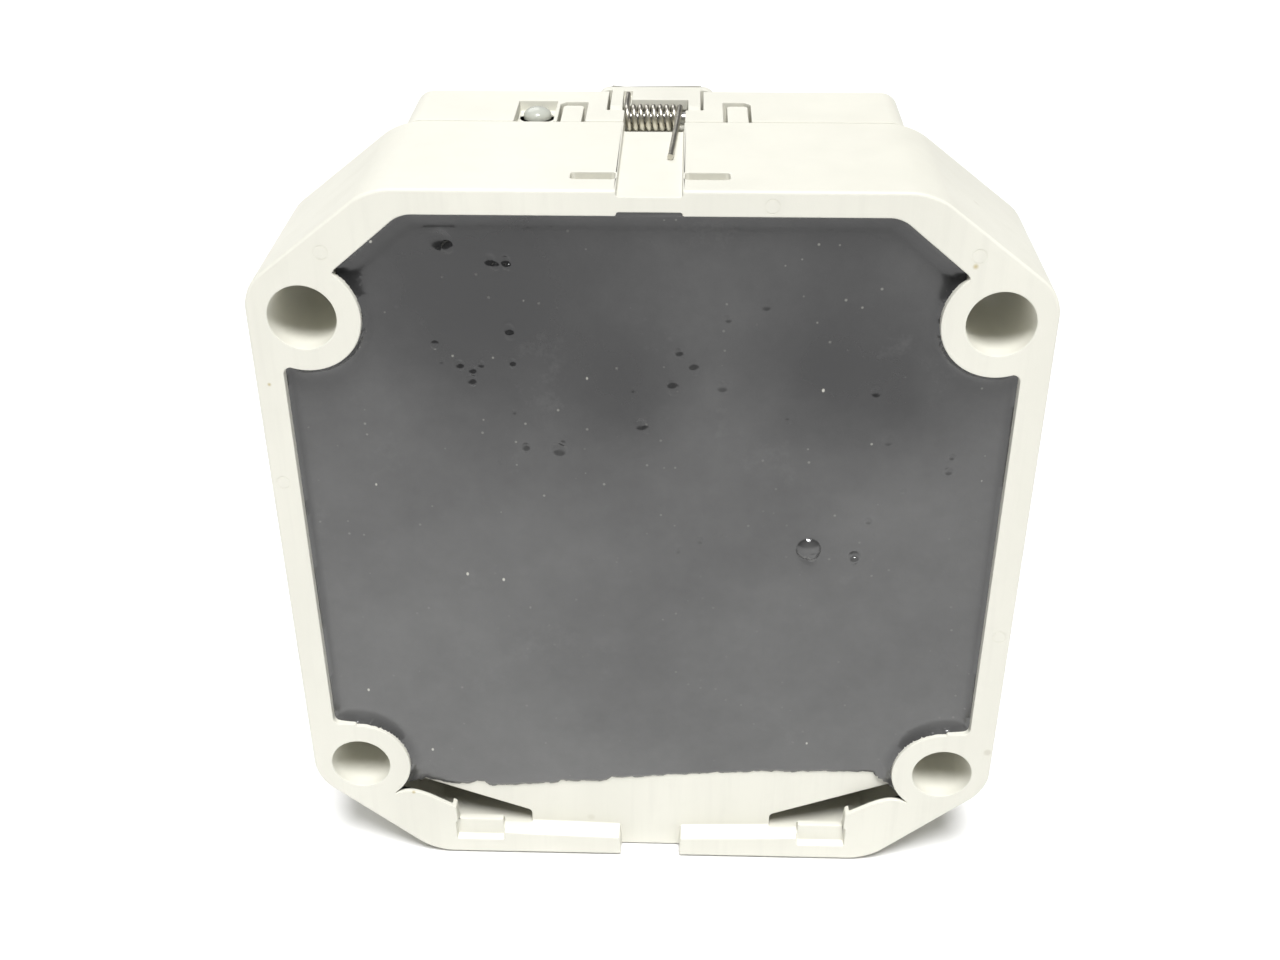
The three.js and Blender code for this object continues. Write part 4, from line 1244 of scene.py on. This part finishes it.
class RELAY_OT_controls(bpy.types.Operator):
    """Setting dial, test button and indicator lens"""

    bl_idname = "relay.controls"
    bl_label = "Dial, button and lens"

    def execute(self, context):
        settings = context.scene.relay_front
        dial = bar("setting_dial_knob", (DIAL_X, CONTROL_Z), "depth", DIAL_BACK, DIAL_FACE, 5.95, 5.6)
        notches = []
        for step in range(DIAL_NOTCHES):
            turn = 2 * math.pi * step / DIAL_NOTCHES
            centre = (DIAL_X + NOTCH_CIRCLE * math.cos(turn), CONTROL_Z + NOTCH_CIRCLE * math.sin(turn))
            notches.append(bar("notch", centre, "depth", 31.9, 36, 0.38, sides=12))
        slot = block("slot", (DIAL_X - 0.6, DIAL_X + 0.6), (34, 36), (CONTROL_Z - 4.4, CONTROL_Z + 4.4))
        pointer = [(-0.75, 4.5), (0.75, 4.5), (0, 5.4)]
        arrow = prism("arrow", [(DIAL_X + x, CONTROL_Z + z) for x, z in pointer], 34.9, 36)
        carve(dial, *notches, slot, arrow)
        weld(dial, bar("shaft", (DIAL_X, CONTROL_Z), "depth", 26.9, 31.6, 1.4, sides=SMALL_ROUND))
        finish_edges(dial, 0.1)
        dark = moulded_resin("dial plastic", tuple(settings.dial), 0.4)
        place_piece(dial, dark, "dial", "dial_plastic", "setting_dial")

        button = bar("test_button_cap", (BUTTON_X, CONTROL_Z), "depth", 28.2, BUTTON_FACE, 2.8)
        carve(button, dished_cutter())
        weld(button, bar("flange", (BUTTON_X, CONTROL_Z), "depth", 28, 28.7, 3.7, sides=SMALL_ROUND))
        finish_edges(button, 0.28, segments=4, angle=40)
        red = moulded_resin("button plastic", tuple(settings.button), 0.35)
        place_piece(button, red, "button", "button_plastic", "test_button")

        clear = clear_lens("lens plastic", (0.78, 0.80, 0.72))
        place_piece(light_pipe(), clear, "housing", "lens_plastic", "indicator_lens")
        return {"FINISHED"}


def dished_cutter():
    """Shallow ball that hollows the face of the button."""
    centre = at(BUTTON_X, BUTTON_FACE + DISH_RADIUS - DISH_DEPTH, CONTROL_Z)
    bpy.ops.mesh.primitive_uv_sphere_add(
        segments=64, ring_count=48, radius=DISH_RADIUS * MM, location=centre,
    )
    return settle(named(bpy.context.object, "dish"))


def light_pipe():
    """Short clear rod whose top is drawn in step by step to a dome."""
    radius, base, shoulder, top = 1.75, 95.9, 98.9, HEIGHT - 0.05
    rod = bar("indicator_dome", (LENS_X, LENS_DEPTH), "z", base, shoulder, radius, sides=SMALL_ROUND)
    centre = at(LENS_X, LENS_DEPTH, shoulder)
    part_turn = math.pi / 2 / (DOME_STEPS + 0.4)
    with editing(rod):
        choose(rod, "faces", lambda face: face.normal.z > 0.9)
        for step in range(1, DOME_STEPS + 1):
            turn, before = part_turn * step, part_turn * (step - 1)
            rise = (top - shoulder) * (math.sin(turn) - math.sin(before))
            shrink = math.cos(turn) / math.cos(before)
            bpy.ops.mesh.extrude_region_move(TRANSFORM_OT_translate={"value": (0, 0, rise * MM)})
            bpy.ops.transform.resize(value=(shrink, shrink, 1), center_override=centre)
    clean(rod, 0.005)
    smooth(rod, 40)
    return rod


# --- terminals ------------------------------------------------------------------------------------

BLOCK_FOOT = BLOCK_LOW.z / MM
BLOCK_TOP = BLOCK_HIGH.z / MM
BLOCK_FRONT = (BLOCK_HIGH.y - BACK) / MM
SCREW_Z = 14
CELL_FLOOR = 29.2
CELL_TOP = 25.6
CELL_HALF = 4.2
METAL_HALF = 3.7  # half the width of a lug and of a clamping washer
WASHER_BACK = CELL_FLOOR + 1.05
WASHER_FRONT = CELL_FLOOR + 2.2
SCREW_BASE = CELL_FLOOR + 2.25
SCREW_FACE = SCREW_BASE + 2.4
SCREW_SLOT_FLOOR = SCREW_BASE + 1.2


class RELAY_OT_block(bpy.types.Operator):
    """Terminal block with six open cells between raised walls"""

    bl_idname = "relay.block"
    bl_label = "Terminal block"

    def execute(self, context):
        half = TOWER_HALF
        corners = [(-half, BLOCK_FOOT), (half, BLOCK_FOOT), (half, BLOCK_TOP), (-half, BLOCK_TOP)]
        body = prism("terminal_body", corners, COVER_BACK, BLOCK_FRONT)
        round_corners(body, 1.2)
        round_rim(body, BLOCK_FRONT, 0.6)
        cutters = []
        for x in TERMINAL_CENTRES:
            depth, height = (CELL_FLOOR, BLOCK_FRONT + 1), (BLOCK_FOOT - 1, CELL_TOP)
            cell = block("cell", (x - CELL_HALF, x + CELL_HALF), depth, height)
            round_corners(cell, 0.8, lambda p: p.z > 20)
            cutters.append(cell)
            cutters.append(bar("bore", (x, SCREW_Z), "depth", 25, 30, 2, sides=SMALL_ROUND))
            cutters.append(block("lug_slot", (x - 1.9, x + 1.9), (20, 30), (23.8, CELL_TOP - 0.1)))
            if x < TERMINAL_CENTRES[-1]:
                wall, depth = x + TERMINAL_PITCH / 2, (38.6, BLOCK_FRONT + 1)
                cutters.append(block("wall_groove", (wall - 0.25, wall + 0.25), depth, (3, 24)))
        carve(body, *cutters)
        finish_edges(body, 0.15)
        plastic = moulded_plastic("block plastic", tuple(context.scene.relay_front.block))
        place_piece(body, plastic, "housing", "block_plastic", "terminal_block")
        return {"FINISHED"}


def clamp_screw(x):
    """Pan-head screw with a cross slot and a plain shank."""
    head = bar("screw", (x, SCREW_Z), "depth", SCREW_BASE, SCREW_FACE, 3.5, 3.1, sides=64)
    round_rim(head, SCREW_FACE, 0.55, segments=5)
    depth = (SCREW_SLOT_FLOOR, SCREW_BASE + 3)
    carve(
        head,
        block("slot", (x - 0.45, x + 0.45), depth, (SCREW_Z - 4, SCREW_Z + 4)),
        block("slot", (x - 2, x + 2), depth, (SCREW_Z - 0.45, SCREW_Z + 0.45)),
    )
    weld(head, bar("shank", (x, SCREW_Z), "depth", 25.5, SCREW_BASE + 0.3, 1.6, sides=32))
    return finish_edges(head, 0.08)


def clamp_plate(x):
    """Square clamping washer with four grooves across its back and a round hole."""
    width, height = (x - METAL_HALF, x + METAL_HALF), (SCREW_Z - METAL_HALF, SCREW_Z + METAL_HALF)
    plate = block("washer", width, (WASHER_BACK, WASHER_FRONT), height)
    round_corners(plate, 0.7)
    depth = (WASHER_BACK - 0.5, WASHER_BACK + 0.18)
    grooves = [
        block("groove", (x - 3, x + 3), depth, (SCREW_Z + offset - 0.25, SCREW_Z + offset + 0.25))
        for offset in (-2.6, -1.4, 1.4, 2.6)
    ]
    carve(plate, bar("hole", (x, SCREW_Z), "depth", 28, 34, 1.9, sides=SMALL_ROUND), *grooves)
    return finish_edges(plate, 0.16)


def lug(x):
    """Flat lug under the screw, with its tail bent back to the board."""
    plate = block("lug", (x - METAL_HALF, x + METAL_HALF), (CELL_FLOOR + 0.05, CELL_FLOOR + 1), (6, 25.2))
    round_corners(plate, 0.8, lambda p: p.z < 10)
    weld(plate, block("tail", (x - 1.5, x + 1.5), (13.45, CELL_FLOOR + 0.6), (24.2, 25.2)))
    carve(plate, bar("hole", (x, SCREW_Z), "depth", 28, 32, 2.1, sides=SMALL_ROUND))
    return finish_edges(plate, 0.12)


class RELAY_OT_terminals(bpy.types.Operator):
    """Six lugs, clamping washers and screws, each made once and copied along the block"""

    bl_idname = "relay.terminals"
    bl_label = "Terminals"

    def execute(self, context):
        brass = drawn_metal("tinned brass", (0.66, 0.62, 0.50), (1, 1, 0.2), 0.32)
        washer_steel = drawn_metal("washer steel", (0.60, 0.60, 0.60), (1, 1, 0.3), 0.3)
        screw_steel = drawn_metal("screw steel", (0.64, 0.64, 0.65), (1, 1, 1), 0.24)
        kinds = [
            ("terminal_lug", "lug_plate", lug, brass, "tinned_brass"),
            ("clamp_washer", "clamp_plate", clamp_plate, washer_steel, "plated_steel"),
            ("terminal_screw", "clamp_screw", clamp_screw, screw_steel, "plated_steel"),
        ]
        first = TERMINAL_CENTRES[0]
        for node, name, make, material, slot in kinds:
            pattern = make(first)
            named(pattern, f"{name}_1")
            place_piece(pattern, material, "housing", slot, f"{node}_1")
            for number, x in enumerate(TERMINAL_CENTRES[1:], start=2):
                twin = copy_moved(pattern, f"{name}_{number}", at(x, 0, 0) - at(first, 0, 0))
                place_piece(twin, material, "housing", slot, f"{node}_{number}")
        return {"FINISHED"}


# --- inner parts ----------------------------------------------------------------------------------


class RELAY_OT_inner_parts(bpy.types.Operator):
    """Finishes for the boards and the components that keep their plain shapes"""

    bl_idname = "relay.inner_parts"
    bl_label = "Inner parts"

    def execute(self, context):
        aluminium = (0.72, 0.73, 0.74)
        finishes = {
            "board_laminate": board_laminate("board laminate", (0.03, 0.13, 0.06)),
            "spreader_aluminium": drawn_metal("spreader aluminium", aluminium, (0.2, 1, 1), 0.35),
            "black_plastic": moulded_resin("black plastic", (0.02, 0.02, 0.022), 0.5),
            "chip_resin": moulded_resin("chip resin", (0.015, 0.015, 0.016), 0.55),
            "capacitor_case": moulded_resin("capacitor case", (0.46, 0.24, 0.03), 0.4),
            "resistor_lacquer": moulded_resin("resistor lacquer", (0.42, 0.34, 0.18), 0.45),
            "varistor_coating": moulded_resin("varistor coating", (0.03, 0.12, 0.32), 0.4),
            "led_resin": clear_lens("lamp resin", (0.75, 0.78, 0.68)),
        }
        for part in frame["record"]["subparts"]:
            finish = finishes.get(part["material_slot"])
            if finish:
                for place in frame["nodes"][part["node"]].material_slots:
                    place.material = finish
        return {"FINISHED"}


# --- stage ----------------------------------------------------------------------------------------

FLOOR_RADIUS = 3
FLOOR_DROP = 0.0003
SENSOR_WIDTH = 36
CAMERA_PLACE = (0.00428, -0.17704, 0.15947)


def lamp(name, azimuth, height, spread, strength):
    """Distant soft lamp. Azimuth 0 is on the mounting face's side, and angles are in degrees."""
    data = bpy.data.lights.new(name, "SUN")
    data.angle = math.radians(spread)
    data.energy = strength
    obj = bpy.data.objects.new(name, data)
    bpy.context.scene.collection.objects.link(obj)
    turn, rise = math.radians(azimuth), math.radians(height)
    source = Vector((math.sin(turn) * math.cos(rise), -math.cos(turn) * math.cos(rise), math.sin(rise)))
    obj.rotation_euler = source.to_track_quat("Z", "Y").to_euler()
    return obj


def room_light(strength):
    """Room: pale near the horizon, dim above it, plain light from overhead."""
    world = bpy.data.worlds.new("room")
    bpy.context.scene.world = world
    world.use_nodes = True
    tree = world.node_tree
    background = tree.nodes["Background"]
    coordinates = tree.nodes.new("ShaderNodeTexCoord")
    split = tree.nodes.new("ShaderNodeSeparateXYZ")
    ramp = tree.nodes.new("ShaderNodeValToRGB")
    tree.links.new(coordinates.outputs["Generated"], split.inputs[0])
    tree.links.new(split.outputs["Z"], ramp.inputs[0])
    tree.links.new(ramp.outputs[0], background.inputs["Color"])
    stops = ramp.color_ramp.elements
    stops[0].position, stops[0].color = 0.08, (1, 1, 1, 1)
    stops[1].position, stops[1].color = 0.26, (0.25, 0.25, 0.25, 1)
    background.inputs["Strength"].default_value = strength


def aim_camera(settings):
    yaw, pitch, roll = -settings.yaw, settings.pitch, -settings.roll
    run = math.cos(pitch)
    forward = Vector((math.sin(yaw) * run, math.cos(yaw) * run, -math.sin(pitch)))
    level = Vector((math.cos(yaw), -math.sin(yaw), 0))
    up = level.cross(forward)
    right = level * math.cos(roll) + up * math.sin(roll)
    top = up * math.cos(roll) - level * math.sin(roll)
    data = bpy.data.cameras.new("camera")
    data.lens = settings.lens
    data.sensor_width = SENSOR_WIDTH
    data.clip_start = 0.01
    camera = bpy.data.objects.new("camera", data)
    bpy.context.scene.collection.objects.link(camera)
    turn = Matrix((right, top, -forward)).transposed().to_4x4()
    camera.matrix_world = Matrix.Translation(CAMERA_PLACE) @ turn
    bpy.context.scene.camera = camera


class RELAY_OT_stage(bpy.types.Operator):
    """Pale floor, a soft lamp above the potted side, a weak one on the terminal side, and the camera"""

    bl_idname = "relay.stage"
    bl_label = "Stage"

    def execute(self, context):
        settings = context.scene.relay_stage
        deselect()
        bpy.ops.mesh.primitive_circle_add(
            vertices=128, radius=FLOOR_RADIUS, fill_type="NGON", location=(0, 0, -FLOOR_DROP),
        )
        floor = named(bpy.context.object, "floor")
        settle(floor)
        g = Graph("floor paper")
        paper = tuple(settings.floor)
        tone = g.mix(g.ramp(g.noise(8, detail=3), 0.3, 0.7), shade(paper, 0.99), paper)
        floor.data.materials.append(g.finish(tone, 0.8))
        lamp("key lamp", 6, 67, 24, settings.key)
        lamp("back lamp", 205, 42, 40, settings.fill)
        room_light(settings.world)
        aim_camera(settings)
        context.scene.view_settings.view_transform = "Standard"
        return {"FINISHED"}


# --- panel and registration -----------------------------------------------------------------------

STEPS = [
    RELAY_OT_stage, RELAY_OT_housing, RELAY_OT_compound, RELAY_OT_spring, RELAY_OT_cover,
    RELAY_OT_label, RELAY_OT_flap, RELAY_OT_controls, RELAY_OT_block, RELAY_OT_terminals,
    RELAY_OT_inner_parts,
]


class RELAY_PT_sidebar(bpy.types.Panel):
    """Lists the pieces of the relay"""

    bl_idname = "RELAY_PT_sidebar"
    bl_label = "Potted relay"
    bl_space_type = "VIEW_3D"
    bl_region_type = "UI"
    bl_category = "Relay"

    def draw(self, context):
        for step in STEPS:
            self.layout.operator(step.bl_idname)


SETTINGS = {
    "relay_housing": HousingSettings,
    "relay_compound": CompoundSettings,
    "relay_spring": SpringSettings,
    "relay_front": FrontSettings,
    "relay_stage": StageSettings,
}


def register():
    for kind in (*SETTINGS.values(), *STEPS, RELAY_PT_sidebar):
        bpy.utils.register_class(kind)
    for name, kind in SETTINGS.items():
        setattr(bpy.types.Scene, name, bpy.props.PointerProperty(type=kind))


def unregister():
    for name in SETTINGS:
        delattr(bpy.types.Scene, name)
    for kind in (RELAY_PT_sidebar, *reversed(STEPS), *SETTINGS.values()):
        bpy.utils.unregister_class(kind)


def corners(box):
    return [list(point) for point in box]


def main():
    register()
    for step in STEPS:
        deselect()
        family, name = step.bl_idname.split(".")
        getattr(getattr(bpy.ops, family), name)()


if __name__ == "__main__":
    main()
